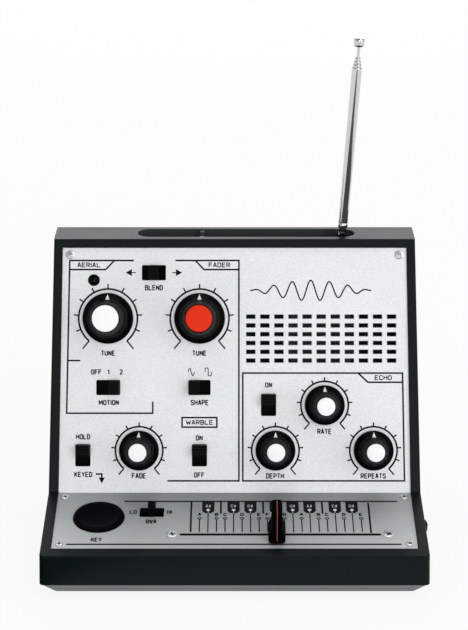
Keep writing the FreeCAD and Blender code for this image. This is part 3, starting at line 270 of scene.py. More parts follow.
def case_finish():
    """Satin black moulding, with painted light inside its antenna groove: a paler grey on its floor."""
    made = finish("satin_black_case", (0.0006, 0.0042, 0.0052), 0.38, grain_mm=0.35, relief=0.03,
                  gloss=0.14)
    tree, colour, black = colour_of(made)
    place = parts_of(tree, add_node(tree, "TexCoord")["Object"])
    groove_painted_light = reckon(tree, "MULTIPLY", reckon(tree, "GREATER_THAN", place["Z"], GROOVE_LOW * MM),
                    reckon(tree, "LESS_THAN", place["Z"], CASE_TOP - GROOVE_MARGIN * MM))
    wide = GROOVE_RADIUS + GROOVE_MARGIN
    long = (PIVOT[0] - GROOVE_END) / 2 + wide
    for axis, middle, half in (("X", (PIVOT[0] + GROOVE_END) / 2, long), ("Y", PIVOT[1], wide)):
        apart = reckon(tree, "ABSOLUTE", reckon(tree, "SUBTRACT", place[axis], middle * MM), 0.0)
        groove_painted_light = reckon(tree, "MULTIPLY", groove_painted_light, reckon(tree, "LESS_THAN", apart, half * MM))
    # painted light: a paler grey inside the antenna groove, where the recess holds back the light
    feed(tree, colour, mixed(tree, groove_painted_light, black, (0.045, 0.05, 0.051)))
    return made


def knob_finish():
    return finish("gloss_black_knob", (0.001, 0.0011, 0.0013), 0.25, grain_mm=0.8, relief=0.0015,
                  gloss=0.05, rough_spread=0.015)


def neck_finish():
    return finish("matt_black_neck", (0.0026, 0.0027, 0.003), 0.5, grain_mm=0.5, relief=0.006, gloss=0.07)


def lever_finish():
    return finish("satin_black_lever", (0.0014, 0.0015, 0.0018), 0.4, grain_mm=0.3, relief=0.01, gloss=0.06)


def chrome_finish():
    return finish("polished_chrome", (0.64, 0.645, 0.65), 0.1, metal=1.0, grain_mm=1.2, relief=0.002,
                  tone=0.02, rough_spread=0.03)


def hinge_finish():
    # painted reflection: the swivel, pin and knuckle are chrome, coloured dark to stand in for the black
    # case they reflect
    return finish("chrome_painted_dark_reflection", (0.15, 0.15, 0.155), 0.16, metal=1.0, grain_mm=0.8, relief=0.003,
                  tone=0.05)


def screw_finish():
    """Bright steel, with painted shade in the cross recess: near black where the mesh's attribute for it
    rises to 1.
    """
    made = finish("bright_screw", (0.72, 0.73, 0.73), 0.3, metal=0.85, grain_mm=0.4, relief=0.004,
                  tone=0.05)
    tree, colour, steel = colour_of(made)
    sunk = add_node(tree, "Attribute", attribute_name="sunk")["Fac"]
    feed(tree, colour, mixed(tree, sunk, steel, (0.006, 0.006, 0.006)))
    return made


def ink_finish():
    return finish("screen_ink", (0.004, 0.0045, 0.005), 0.6, grain_mm=0.15, relief=0.004, gloss=0.1)


def panel_finish():
    """Silver satin sheet: bright on the upright face, and on the shelf a brushed grey with painted shade
    near the fold and painted light towards the front and the ends: its share of the lighter tone is 0.6
    along the way from the fold to the front, plus 0.3 (x / 90 mm)^2.
    The sheet's cut edges carry painted shade, near black, which darkens the walls of its holes and slots
    and its outline: there the surface faces away from its own half of the sheet, and at the bend from both."""
    made = finish("satin_silver_sheet", (0.785, 0.803, 0.807), 0.46, metal=0.3, grain_mm=0.6,
                  relief=0.012, tone=0.2, brushed=1.6)
    tree, colour, silver = colour_of(made)
    normal = add_node(tree, "NewGeometry")["True Normal"]
    place = add_node(tree, "TexCoord")["Object"]
    where = parts_of(tree, place)
    fold_y, shelf_deep, shelf_half = -0.006, 0.048, 0.09
    # painted shade and light on the shelf: its grey is darkest at the fold and lighter towards the front
    # and the ends
    painted_light_forward = reckon(tree, "DIVIDE", reckon(tree, "ADD", where["Y"], -fold_y), -shelf_deep / 0.6)
    ends = reckon(tree, "POWER", reckon(tree, "ABSOLUTE", where["X"], 0.0), 2.0)
    lighter = reckon(tree, "ADD", painted_light_forward, reckon(tree, "MULTIPLY", ends, 0.3 / shelf_half**2))
    grey = mixed(tree, lighter, (0.245, 0.265, 0.265), (0.68, 0.7, 0.7))
    stretched = add_node(tree, "Mapping", {"Vector": place, "Scale": (0.03, 1, 1)})["Vector"]
    brushing = add_node(tree, "TexNoise", {"Vector": stretched, "Scale": 2600})["Color"]
    brushed = mixed(tree, 0.35, grey, brushing, "SOFT_LIGHT")
    level = reckon(tree, "GREATER_THAN", parts_of(tree, normal)["Z"], 0.8)
    sheet = mixed(tree, level, silver, brushed)
    # painted shade on the cut edges: near black where the surface faces away from its own half of the sheet
    along = []
    for panel, side, limit in ((UPPER, "GREATER_THAN", -0.0085), (LOWER, "LESS_THAN", -0.003)):
        outward = {0: normal, 1: tuple(panel.col[2].to_3d())}
        facing = add_node(tree, "VectorMath", outward, operation="DOT_PRODUCT")["Value"]
        along.append(reckon(tree, "MULTIPLY", facing, reckon(tree, side, where["Y"], limit)))
    edge = reckon(tree, "LESS_THAN", reckon(tree, "MAXIMUM", *along), 0.75)
    feed(tree, colour, mixed(tree, edge, sheet, (0.008, 0.008, 0.009)))
    return made


def dress(finish_made, *names):
    """Gives solid parts a finish through their objects' own material slots."""
    for name in names:
        part = NODES[name]
        for slot in part.material_slots:
            slot.link = "OBJECT"
            slot.material = finish_made


# ---- flat printing ------------------------------------------------------------------------------
class Print:
    """Flat shapes in a panel's own millimetres, gathered and laid on the panel as one piece."""

    def __init__(self):
        self.points, self.faces, self.count = [], [], 0

    def add(self, points, faces):
        points = np.asarray(points, float)
        self.points.append(points)
        self.faces += [[index + self.count for index in face] for face in faces]
        self.count += len(points)

    def line(self, corners, width=0.42):
        """A strip of even width along a run of corners, mitred at each: every corner moves by
        half the width along the sum of its neighbours' normals, over one plus their product."""
        p = np.asarray(corners, float)
        d = np.diff(p, axis=0)
        d /= np.linalg.norm(d, axis=1)[:, None]
        n = np.stack([-d[:, 1], d[:, 0]], axis=1)
        before, after = np.vstack([n[:1], n]), np.vstack([n, n[-1:]])
        shift = (before + after) / (1 + np.sum(before * after, axis=1))[:, None] * width / 2
        rows = np.stack([p + shift, p - shift], axis=1).reshape(-1, 2)
        self.add(rows, [[2 * k, 2 * k + 1, 2 * k + 3, 2 * k + 2] for k in range(len(p) - 1)])

    def arc(self, x, y, radius, start, end, width=0.42):
        """A strip along a circle; the angles are in degrees clockwise from straight up."""
        a = np.radians(np.linspace(start, end, max(16, int(abs(end - start) / 4))))
        self.line(np.stack([x + radius * np.sin(a), y + radius * np.cos(a)], axis=1)[::-1], width)

    def ring(self, x, y, radius, width):
        """A flat ring between two circles."""
        a = np.linspace(0, 2 * np.pi, 28, endpoint=False)
        unit = np.stack([np.cos(a), np.sin(a)], axis=1)
        inner, outer = unit * (radius - width / 2), unit * (radius + width / 2)
        rows = np.stack([inner, outer], axis=1).reshape(-1, 2)
        following = [*range(1, len(a)), 0]
        self.add(rows + (x, y), [[2 * k, 2 * k + 1, 2 * j + 1, 2 * j] for k, j in enumerate(following)])

    def shape(self, corners):
        self.add(corners, [list(range(len(corners)))])

    def words(self, text, x, y, height, weight=0.56, wide=0.42, space=0.15):
        """Lettering centred on (x, y), drawn as even strokes. A letter's strokes lie in a unit
        square that is made height tall and wide times height across; space is the gap between."""
        across = [wide * height * BROAD.get(letter, 1.0) for letter in text]
        tall, gap = height - weight, space * height + weight / 2
        left = x - (sum(across) + gap * (len(text) - 1)) / 2
        for letter, span in zip(text, across):
            for stroke in STROKES.get(letter, ()):
                self.line(np.asarray(stroke) * (span, tall) + (left, y - tall / 2), weight)
            left += span + gap

    def lay(self, name, place, ink, lift=INK_LIFT, body="housing"):
        flat = np.vstack(self.points)
        solid = np.column_stack([flat, np.full(len(flat), lift)])
        return new_piece(name, laid(solid, place), self.faces, body, ink, smooth_under=0)


# How broad a letter is beside the others, and the strokes of each in a unit square.
BROAD = {"I": 0.05, "1": 0.6, "M": 1.35, "W": 1.45, " ": 0.6}
STROKES = {
    "A": [[(0, 0), (0.42, 1), (0.58, 1), (1, 0)], [(0.15, 0.3), (0.85, 0.3)]],
    "B": [[(0, 0.3), (0, 1), (0.7, 1), (0.95, 0.88), (0.95, 0.65), (0.7, 0.53), (0, 0.53)],
          [(0.6, 0.53), (0.7, 0.53), (1, 0.4), (1, 0.14), (0.7, 0), (0, 0), (0, 0.3)]],
    "C": [[(1, 0.78), (1, 0.86), (0.7, 1), (0.3, 1), (0, 0.86), (0, 0.14), (0.3, 0), (0.7, 0),
           (1, 0.14), (1, 0.22)]],
    "D": [[(0, 0.5), (0, 1), (0.65, 1), (1, 0.84), (1, 0.16), (0.65, 0), (0, 0), (0, 0.5)]],
    "E": [[(1, 1), (0, 1), (0, 0), (1, 0)], [(0, 0.52), (0.85, 0.52)]],
    "F": [[(1, 1), (0, 1), (0, 0)], [(0, 0.52), (0.85, 0.52)]],
    "G": [[(1, 0.78), (1, 0.86), (0.7, 1), (0.3, 1), (0, 0.86), (0, 0.14), (0.3, 0), (0.7, 0),
           (1, 0.14), (1, 0.48), (0.55, 0.48)]],
    "H": [[(0, 0), (0, 1)], [(1, 0), (1, 1)], [(0, 0.52), (1, 0.52)]],
    "I": [[(0.5, 0), (0.5, 1)]],
    "K": [[(0, 0), (0, 1)], [(1, 1), (0.05, 0.4)], [(0.35, 0.6), (1, 0)]],
    "L": [[(0, 1), (0, 0), (1, 0)]],
    "M": [[(0, 0), (0, 1)], [(1, 0), (1, 1)], [(0.04, 0.97), (0.5, 0.35), (0.96, 0.97)]],
    "N": [[(0, 0), (0, 1)], [(0.03, 0.97), (0.97, 0.03)], [(1, 0), (1, 1)]],
    "O": [[(0.5, 0), (0.3, 0), (0, 0.14), (0, 0.86), (0.3, 1), (0.7, 1), (1, 0.86), (1, 0.14),
           (0.7, 0), (0.5, 0)]],
    "P": [[(0, 0), (0, 1), (0.7, 1), (1, 0.87), (1, 0.58), (0.7, 0.45), (0, 0.45)]],
    "R": [[(0, 0), (0, 1), (0.7, 1), (1, 0.87), (1, 0.6), (0.7, 0.47), (0, 0.47)], [(0.5, 0.47), (1, 0)]],
    "S": [[(1, 0.8), (0.95, 0.88), (0.7, 1), (0.3, 1), (0, 0.86), (0, 0.66), (0.25, 0.54), (0.75, 0.46),
           (1, 0.34), (1, 0.14), (0.7, 0), (0.3, 0), (0.05, 0.12), (0, 0.2)]],
    "T": [[(0, 1), (1, 1)], [(0.5, 1), (0.5, 0)]],
    "U": [[(0, 1), (0, 0.14), (0.3, 0), (0.7, 0), (1, 0.14), (1, 1)]],
    "V": [[(0, 1), (0.42, 0), (0.58, 0), (1, 1)]],
    "W": [[(0, 1), (0.25, 0)], [(0.25, 0), (0.5, 0.7)], [(0.5, 0.7), (0.75, 0)], [(0.75, 0), (1, 1)]],
    "Y": [[(0, 1), (0.5, 0.5), (1, 1)], [(0.5, 0.5), (0.5, 0)]],
    "#": [[(0.3, 0), (0.4, 1)], [(0.65, 0), (0.75, 1)], [(0, 0.33), (0.95, 0.33)],
          [(0.08, 0.67), (1, 0.67)]],
    "1": [[(0, 0.78), (0.8, 1)], [(0.8, 1), (0.8, 0)]],
    "2": [[(0, 0.82), (0.05, 0.88), (0.3, 1), (0.7, 1), (1, 0.86), (1, 0.64), (0.05, 0.05)],
          [(0, 0), (1, 0)]],
    "8": [[(0.5, 0), (0.3, 0), (0, 0.14), (0, 0.4), (0.25, 0.53), (0.75, 0.53), (1, 0.66), (1, 0.86),
           (0.7, 1), (0.5, 1)],
          [(0.5, 1), (0.3, 1), (0, 0.86), (0, 0.66), (0.25, 0.53), (0.75, 0.53), (1, 0.4), (1, 0.14),
           (0.7, 0), (0.5, 0)]],
}


# ---- settings -----------------------------------------------------------------------------------
def colour_setting(name, description, default):
    """A colour that the sidebar shows as a swatch."""
    return bpy.props.FloatVectorProperty(name=name, description=description, subtype="COLOR", size=3,
                                         default=default, min=0, max=1)


class ThereminSettings(bpy.types.PropertyGroup):
    line_width: bpy.props.FloatProperty(
        name="Line width", description="Width of the printed frame lines, in millimetres",
        default=0.84, min=0.1, max=1.5)
    letter_height: bpy.props.FloatProperty(
        name="Letter height", description="Height of the capitals beside the controls, in millimetres",
        default=2.8, min=1.0, max=5.0)
    knob_steps: bpy.props.IntProperty(
        name="Knob smoothness", description="Steps round each turned knob and its cap",
        default=96, min=24, max=256)
    white_cap: colour_setting("White caps", "Colour of the white knob caps", (0.94, 0.94, 0.935))
    red_cap: colour_setting("Red cap", "Colour of the red knob cap", (0.76, 0.03, 0.005))
    slider_line: colour_setting("Slider line", "Colour of the line on the note slider",
                                (0.31, 0.058, 0.032))
    floor_colour: colour_setting("Floor", "Colour of the floor", (0.93, 0.93, 0.93))
    camera_distance: bpy.props.FloatProperty(
        name="Camera distance", description="How far the camera stands in front", subtype="DISTANCE",
        unit="LENGTH", default=0.9091, min=0.3, max=5)


class THEREMIN_OT_housing(bpy.types.Operator):
    """Finishes the moulded console, its tray, feet, door and sockets"""
    bl_idname = "theremin.housing"
    bl_label = "Housing"

    def execute(self, context):
        dress(case_finish(), "case_shell", "antenna_clip")
        # painted reflection: a grey-green on the tray and the door that stands in for the pale floor seen
        # in their dark plastic
        tray = finish("tray_painted_floor_reflection", (0.138, 0.161, 0.157), 0.5, grain_mm=0.35, relief=0.03, gloss=0.4)
        dress(tray, "base_tray", "battery_door")
        rubber = finish("rubber", (0.02, 0.02, 0.02), 0.8, grain_mm=0.2, relief=0.03, gloss=0.3)
        dress(rubber, "rubber_feet")
        dress(finish("socket_nylon", (0.012, 0.012, 0.013), 0.5), "rear_sockets")
        return {"FINISHED"}


class THEREMIN_OT_inner_parts(bpy.types.Operator):
    """Finishes what lies behind the panel: boards, potentiometers, switches, speaker and cells"""
    bl_idname = "theremin.inner_parts"
    bl_label = "Inner parts"

    def execute(self, context):
        mask = finish("black_solder_mask", (0.002, 0.0027, 0.0024), 0.45, grain_mm=0.5, gloss=0.12)
        dress(mask, "main_board", "slider_board")
        steel = finish("pot_steel", (0.45, 0.46, 0.46), 0.35, metal=1.0, grain_mm=0.4)
        dress(steel, "rotary_potentiometers", "battery_contacts", *(f"{name}_shaft" for name in KNOBS))
        nylon = finish("switch_nylon", (0.006, 0.006, 0.007), 0.55)
        dress(nylon, "trigger_switch", "slider_track", "slider_carriage", "volume_potentiometer")
        dress(finish("switch_black", (0.0012, 0.0012, 0.0015), 0.5, gloss=0.06), "slide_switch_bodies")
        paper = finish("speaker_paper", (0.0005, 0.0005, 0.0005), 0.85, grain_mm=0.25, relief=0.05,
                       gloss=0.01)
        dress(paper, "speaker_cone")
        paint = finish("speaker_paint", (0.0015, 0.0015, 0.0018), 0.6, grain_mm=0.4, gloss=0.05)
        dress(paint, "speaker_frame")
        dress(finish("cell_jacket", (0.05, 0.05, 0.06), 0.3, grain_mm=0.6), "battery_cells")
        return {"FINISHED"}


class THEREMIN_OT_panel(bpy.types.Operator):
    """Finishes the folded sheet and prints its frames, scales and arrows"""
    bl_idname = "theremin.panel"
    bl_label = "Panel and frames"

    def execute(self, context):
        dress(panel_finish(), "front_panel")
        upper = Print()
        self.frames(upper, context.scene.theremin.line_width)
        self.arrows(upper)
        self.dials(upper)
        self.slit_edges(upper)
        self.wave_marks(upper)
        self.tone_burst(upper)
        upper.lay("upper_frames_print", UPPER, ink_finish())
        shelf, pale = Print(), Print()
        for corners, width in (
            ([(-56.0, -7.7), (82.8, -7.7)], 1.1),
            ([(-82.9, -44.4), (82.2, -44.4)], 1.15),
            ([(-21.9, -8.2), (-21.9, -34.1)], 0.95),
            ([(67.8, -9.1), (67.8, -34.9)], 0.95),
        ):
            shelf.line(corners, width)
        for index, note in enumerate(NOTES):
            x = FIRST_NOTE + index * NOTE_STEP
            if "#" in note:
                self.sharp(shelf, pale, note, x)
            else:
                beside_natural = index + 1 < len(NOTES) and "#" not in NOTES[index + 1]
                self.natural(shelf, note, x, beside_natural)
        shelf.lay("note_scale_print", LOWER, ink_finish())
        white = finish("white_ink", (0.75, 0.77, 0.77), 0.55, grain_mm=0.2, relief=0.003)
        pale.lay("sharp_notes_print", LOWER, white, lift=INK_LIFT * 2)
        return {"FINISHED"}

    @staticmethod
    def frames(sheet, width):
        """The lines that frame the groups of controls, with their slanted title corners."""
        for corners in (
            [(-84.4, 119.16), (-84.4, 118.95), (-51.6, 118.95)],
            [(-84.4, 119.16), (-86.0, 40.75), (-41.9, 40.75), (-41.9, 46.7)],
            [(-84.5, 114.3), (-66.0, 114.3), (-61.6, 118.9)],
            [(-85.4, 67.7), (-79.0, 67.7)],
            [(-30.3, 118.95), (2.2, 118.95), (2.2, 6.1), (-34.5, 6.1)],
            [(2.2, 114.3), (-15.6, 114.3), (-20.1, 118.9)],
            [(-18.0, 33.6), (-26.9, 33.6), (-26.9, 38.5), (-9.1, 38.5), (-9.1, 33.6), (-18.0, 33.6)],
            [(45.0, 61.3), (4.2, 61.3), (4.2, 6.1), (87.0, 6.1), (86.0, 61.3), (45.0, 61.3)],
            [(86.1, 56.6), (68.3, 56.6), (63.35, 61.2)],
            [(-71.0, 9.6), (-68.0, 9.6), (-68.0, 6.4)],
        ):
            sheet.line(corners, width)

    @staticmethod
    def arrows(sheet):
        """An arrow to each side of the blend switch, and the head of the one that points down to
        the key."""
        long, half = 3.1, 1.8
        for tail, tip in ((-50.55, -55.7), (-31.9, -26.9)):
            way = math.copysign(1, tip - tail)
            foot = tip - long * way
            sheet.line([(tail, ARROWS_UP), (tip - 2 * way, ARROWS_UP)], 0.5)
            head = [(tip, ARROWS_UP), (foot, ARROWS_UP + half), (foot, ARROWS_UP - half)]
            sheet.shape(head[::-1] if way < 0 else head)
        sheet.shape([(-68.0, 4.7), (-66.4, 7.8), (-69.6, 7.8)])

    @staticmethod
    def dials(sheet):
        """An arc round each knob with its ticks, the two at its ends longer than the others."""
        for across, up, size, _ in KNOBS.values():
            rim, mark, end = DIALS[size]
            sheet.arc(across, up, rim, -DIAL_END, DIAL_END, 0.92)
            for angle in range(-DIAL_END, DIAL_END + 1, DIAL_STEP):
                reach = end if abs(angle) == DIAL_END else mark
                s, c = math.sin(math.radians(angle)), math.cos(math.radians(angle))
                sheet.line([(across + rim * s, up + rim * c), (across + reach * s, up + reach * c)], 0.74)

    @staticmethod
    def slit_edges(sheet):
        """A thin edge round each slit of the grille."""
        half, tall = SLIT_HALF
        for x in GRILLE_FIRST[0] + GRILLE_STEP[0] * np.arange(GRILLE_SLITS[0]):
            for y in GRILLE_FIRST[1] + GRILLE_STEP[1] * np.arange(GRILLE_SLITS[1]):
                sheet.line([(x, y - tall), (x - half, y - tall), (x - half, y + tall),
                            (x + half, y + tall), (x + half, y - tall), (x, y - tall)], 0.14)

    @staticmethod
    def wave_marks(sheet):
        """A sine and a rounded square over the wave switch: y = middle - 1.9 sin(pi t), and a
        run of corners."""
        t = np.linspace(-1, 1, 33)
        sheet.line(np.stack([-22.2 + 1.65 * t, 61.85 - 1.9 * np.sin(np.pi * t)], axis=1), 0.45)
        sheet.line([(-15.1, 61.9), (-15.1, 63.5), (-14.8, 63.9), (-13.8, 63.9), (-13.5, 63.5),
                    (-13.5, 60.3), (-13.2, 59.9), (-12.2, 59.9), (-11.9, 60.3), (-11.9, 61.9)], 0.45)

    @staticmethod
    def tone_burst(sheet):
        """A plain tone burst beside the grille: y = height sin(13 pi t) sin(pi t)^1.2."""
        t = np.linspace(0.0, 1.0, 260)
        swell = np.sin(np.pi * t) ** 1.2
        sheet.line(np.stack([8.0 + 62 * t, 103.6 + 5.2 * swell * np.sin(13 * np.pi * t)], axis=1), 0.7)

    @staticmethod
    def sharp(shelf, pale, note, x):
        """A sharp's black tab with its pale name, dot and tail, and its line down the scale."""
        shelf.shape([(x - 3.1, -7.9), (x - 3.1, -16.2), (x - 1.7, -18.0), (x + 1.7, -18.0),
                     (x + 3.1, -16.2), (x + 3.1, -7.9)])
        shelf.line([(x, -17.5), (x, -34.5)], 0.58)
        pale.words(note, x, -11.9, 2.3, 0.2, 0.46, 0.14)
        pale.ring(x, -15.3, 0.5, 0.8)
        pale.line([(x, -16.1), (x, -18.0)], 0.2)

    @staticmethod
    def natural(shelf, note, x, beside_natural):
        """A natural's name, ring and line, and a bar between it and a natural that follows."""
        shelf.words(note, x, -19.1, 2.5, 0.66, 0.48)
        shelf.ring(x, -22.5, 0.8, 0.58)
        shelf.line([(x, -23.4), (x, -34.0)], 0.62)
        if beside_natural:
            shelf.line([(x + NOTE_STEP / 2, -8.0), (x + NOTE_STEP / 2, -18.5)], 0.95)


class THEREMIN_OT_lettering(bpy.types.Operator):
    """Prints plain words and figures beside the controls"""
    bl_idname = "theremin.lettering"
    bl_label = "Lettering"

    def execute(self, context):
        tall = context.scene.theremin.letter_height
        titles = ("AERIAL", "FADER", "ECHO", "WARBLE")
        up = Print()
        for text, x, y in (
            ("AERIAL", -74.6, 116.65), ("FADER", -7.8, 116.65), ("BLEND", -41.3, 105.0),
            ("TUNE", -64.8, 71.5), ("TUNE", -18.0, 71.5), ("OFF", -70.8, 61.85), ("1", -64.6, 61.85),
            ("2", -58.1, 61.85), ("MOTION", -64.4, 46.2), ("SHAPE", -17.9, 46.2), ("HOLD", -77.6, 28.7),
            ("KEYED", -77.5, 9.4), ("FADE", -49.0, 8.7), ("WARBLE", -18.0, 36.05), ("ON", -18.1, 28.1),
            ("OFF", -18.1, 9.1), ("ECHO", 76.1, 58.95), ("ON", 17.4, 55.2), ("RATE", 46.0, 31.4),
            ("DEPTH", 20.7, 8.6), ("REPEATS", 71.0, 8.6),
        ):
            if text in titles:
                up.words(text, x, y, tall * 0.92, 0.5, 0.58, 0.2)
            else:
                up.words(text, x, y, tall)
        up.lay("upper_lettering_print", UPPER, ink_finish(), lift=INK_LIFT * 1.3)
        low = Print()
        for text, x, y in (("LO", -51.15, -17.1), ("HI", -32.8, -17.1), ("8VA", -41.8, -25.2),
                           ("KEY", -68.3, -40.55)):
            low.words(text, x, y, 3.5, 0.62, 0.34, 0.1)
        low.lay("lower_lettering_print", LOWER, ink_finish(), lift=INK_LIFT * 1.3)
        return {"FINISHED"}


class THEREMIN_OT_knobs(bpy.types.Operator):
    """Turns the six knobs with their pointers and coloured caps"""
    bl_idname = "theremin.knobs"
    bl_label = "Knobs"

    def execute(self, context):
        settings = context.scene.theremin
        caps = {
            "white": finish("white_cap", tuple(settings.white_cap), 0.5, relief=0.004, tone=0.02),
            "red": finish("red_cap", tuple(settings.red_cap), 0.5, relief=0.004, tone=0.03, gloss=0.1),
        }
        pointer = finish("white_pointer", (0.82, 0.82, 0.81), 0.5, relief=0.002, tone=0.03)
        for name, (across, up, size, cap_name) in KNOBS.items():
            place = UPPER @ seat(across, up)
            skirt, neck, cap, high = KNOB_FORMS[size]
            outer, flare, upper = self.profile(skirt, neck, cap, high)
            body = f"{name}_control"
            knob = turned_piece(f"{name}_knob_turned", outer, settings.knob_steps, place, body,
                                knob_finish(), "knob_plastic")
            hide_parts(f"{name}_knob")
            points, faces = self.fluted(upper)
            new_piece(f"{name}_neck_fluted", laid(points, place), faces, body, neck_finish(),
                      "knob_plastic", 50)
            disc = turned_piece(f"{name}_cap_turned", self.crown(cap, high), settings.knob_steps, place,
                                body, caps[cap_name], f"{cap_name}_plastic")
            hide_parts(f"{name}_cap")
            points, faces = self.pointer(flare, skirt)
            new_piece(f"{name}_pointer", laid(points, place), faces, body, pointer, "white_plastic")
        return {"FINISHED"}

    @staticmethod
    def crown(cap, high):
        """The cap as (radius, height): a short wall, a rounded edge, and a crown that rises by
        0.34 (1 - (r / cap)^2) over its rim."""
        wall = [(cap - 0.02, high - 0.9), (cap - 0.02, high - 0.3)]
        edge = [(cap - 0.35 + 0.33 * math.cos(a), high - 0.3 + 0.3 * math.sin(a))
                for a in np.linspace(0.3, 1.57, 5)]
        return wall + edge + [(cap * k, high + 0.34 * (1 - k * k)) for k in (0.8, 0.6, 0.4, 0.2, 0.05)]

    @staticmethod
    def profile(skirt, neck, cap, high):
        """The knob's outline from the underside, over the skirt's edge and up the hollow flare,
        as (radius, height), then the flare alone, and the neck from the flare's top over its lip
        into the cap's recess."""
        low = 0.7
        top_r, top_z = neck + 1.6, low + high * 0.42
        edge_r, edge_z = skirt - 0.4, low + 2
        bow = (top_r + (skirt - top_r) * 0.3, edge_z + (top_z - edge_z) * 0.32)
        flare = arc_through((edge_r, edge_z), bow, (top_r, top_z), 20)
        outline = [(3.2, low + 1.3), (skirt - 1.6, low + 1.25), (skirt - 1.55, low), (skirt - 0.15, low),
                   (skirt, low + 0.15), (skirt, low + 1.55), (skirt - 0.1, low + 1.85)]
        outline += flare.tolist()
        rise = np.linspace(0, 1, 7)
        upper = np.stack([top_r - 1.57 * rise, top_z + (high - 0.4 - top_z) * rise], axis=1).tolist()
        upper += [(neck - 0.05, high - 0.14), (neck - 0.2, high),
                  (cap + 0.08, high), (cap, high - 0.12), (cap, high - 0.85)]
        return outline, flare, upper

    @staticmethod
    def fluted(profile, flutes=36, deep=0.16):
        """A turned neck whose radius falls by deep (0.5 + 0.5 cos(flutes a)) at its middle, and
        by less towards both of its ends, where the fall is scaled by sin(pi t)."""
        steps = flutes * 6
        points, faces = closed_rings(turned_rings(profile, steps))
        rows = len(profile)
        t = np.clip(np.arange(rows) / 6, 0, 1)
        a = np.linspace(0, 2 * np.pi, steps, endpoint=False)
        fall = np.outer(np.sin(np.pi * t), deep * (0.5 + 0.5 * np.cos(flutes * a))).reshape(-1, 1)
        ring = points[:rows * steps, :2]
        ring *= 1 - fall / np.linalg.norm(ring, axis=1, keepdims=True)
        return points, faces

    @staticmethod
    def pointer(flare, skirt):
        """A triangle laid on the flare: its width falls to nothing at the rim, and its height
        follows the flare's own curve plus a hair."""
        along = np.linspace(0, 1, 12)
        reach = 1.6 + 0.08 * skirt
        r = skirt - 0.75 - reach * (1 - along)
        half = 0.4 * reach * (1 - along) + 0.02
        side = np.linspace(-1, 1, 7)
        x = np.outer(half, side)
        y = np.sqrt(np.maximum(r[:, None] ** 2 - x**2, 0))
        order = np.argsort(flare[:, 0])
        z = np.interp(np.hypot(x, y), flare[order, 0], flare[order, 1]) + 0.06
        points = np.stack([x, y, z], axis=-1).reshape(-1, 3)
        return points, grid_faces(12, 7, wrap=False)


class THEREMIN_OT_switch_levers(bpy.types.Operator):
    """Finishes the ribbed levers of the slide switches"""
    bl_idname = "theremin.switch_levers"
    bl_label = "Switch levers"

    def execute(self, context):
        switches = ("blend", "modulation", "waveform", "drone", "vibrato", "delay", "octave")
        dress(lever_finish(), *(f"{name}_switch_lever" for name in switches))
        return {"FINISHED"}


class THEREMIN_OT_note_slider(bpy.types.Operator):
    """Moulds the waisted slider cap and its inlaid line"""
    bl_idname = "theremin.note_slider"
    bl_label = "Note slider"
    edge = 0.7  # the radius of the top's edge

    def execute(self, context):
        place = LOWER @ seat(*SLIDER_SPOT)
        z, half, deep = self.form()
        points, faces = closed_rings(self.rounded_oblongs(z, half, deep))
        black = finish("matt_black_slider", (0.001, 0.0011, 0.0013), 0.6, grain_mm=0.4, relief=0.006,
                       gloss=0.01)
        cap = new_piece("slider_cap_moulded", laid(points, place), faces, "note_slider", black,
                        "lever_plastic")
        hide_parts("slider_cap")
        points, faces = self.strip(z, deep)
        colour = tuple(context.scene.theremin.slider_line)
        red = finish("slider_line", colour, 0.45, relief=0.002, tone=0.04)
        new_piece("slider_cap_line", laid(points, place), faces, "note_slider", red, "red_plastic")
        return {"FINISHED"}

    @classmethod
    def form(cls):
        """Height, half width and half depth, row by row: the sides flare out towards the foot in
        a hollow curve, the ends lean in evenly, and the top's edge is rounded."""
        tall, edge = 16.4, cls.edge
        rise = np.linspace(0, tall - edge, 30)
        flare = np.clip(1 - (rise - 1.2) / 8.0, 0, 1)
        half = 2.6 + 1.65 * flare**2
        deep = 8.9 - 3.55 * rise / tall
        turn = np.linspace(0.2, np.pi / 2, 6)
        z = np.concatenate([rise, tall - edge + edge * np.sin(turn)])
        half = np.concatenate([half, half[-1] - edge * (1 - np.cos(turn))])
        deep = np.concatenate([deep, deep[-1] - edge * (1 - np.cos(turn))])
        return z, half, deep

    @staticmethod
    def rounded_oblongs(z, half, deep, steps=64):
        """A ring for each row: |x / half|^7 + |y / deep|^7 = 1, by x = half |cos a|^(2/7) and
        y = deep |sin a|^(2/7), each with its cosine's or sine's sign."""
        a = np.linspace(0, 2 * np.pi, steps, endpoint=False)
        cos, sin = np.cos(a), np.sin(a)
        x = np.outer(half, np.sign(cos) * np.abs(cos) ** (2 / 7.0))
        y = np.outer(deep, np.sign(sin) * np.abs(sin) ** (2 / 7.0))
        return np.stack([x, y, np.repeat(z[:, None], steps, 1)], axis=-1)

    @classmethod
    def strip(cls, z, deep, wide=0.36, lift=0.05):
        """The line: a strip of even width that runs up the cap's front from 1 mm over its foot
        and back over its top, standing off it by the lift."""
        lean = np.clip((z - z[-1]) / cls.edge + 1, 0, 1)
        front = np.stack([-deep - lift * np.sqrt(1 - lean**2), z + lift * lean], axis=1)[z >= 1.0]
        over = np.linspace(-deep[-1], deep[-1] - 0.4, 10)[1:]
        path = np.vstack([front, np.stack([over, np.full(len(over), z[-1] + lift)], axis=1)])
        sides = [np.column_stack([np.full(len(path), way * wide / 2), path]) for way in (-1, 1)]
        faces = [[2 * k, 2 * k + 1, 2 * k + 3, 2 * k + 2] for k in range(len(path) - 1)]
        return np.stack(sides, axis=1).reshape(-1, 3), faces


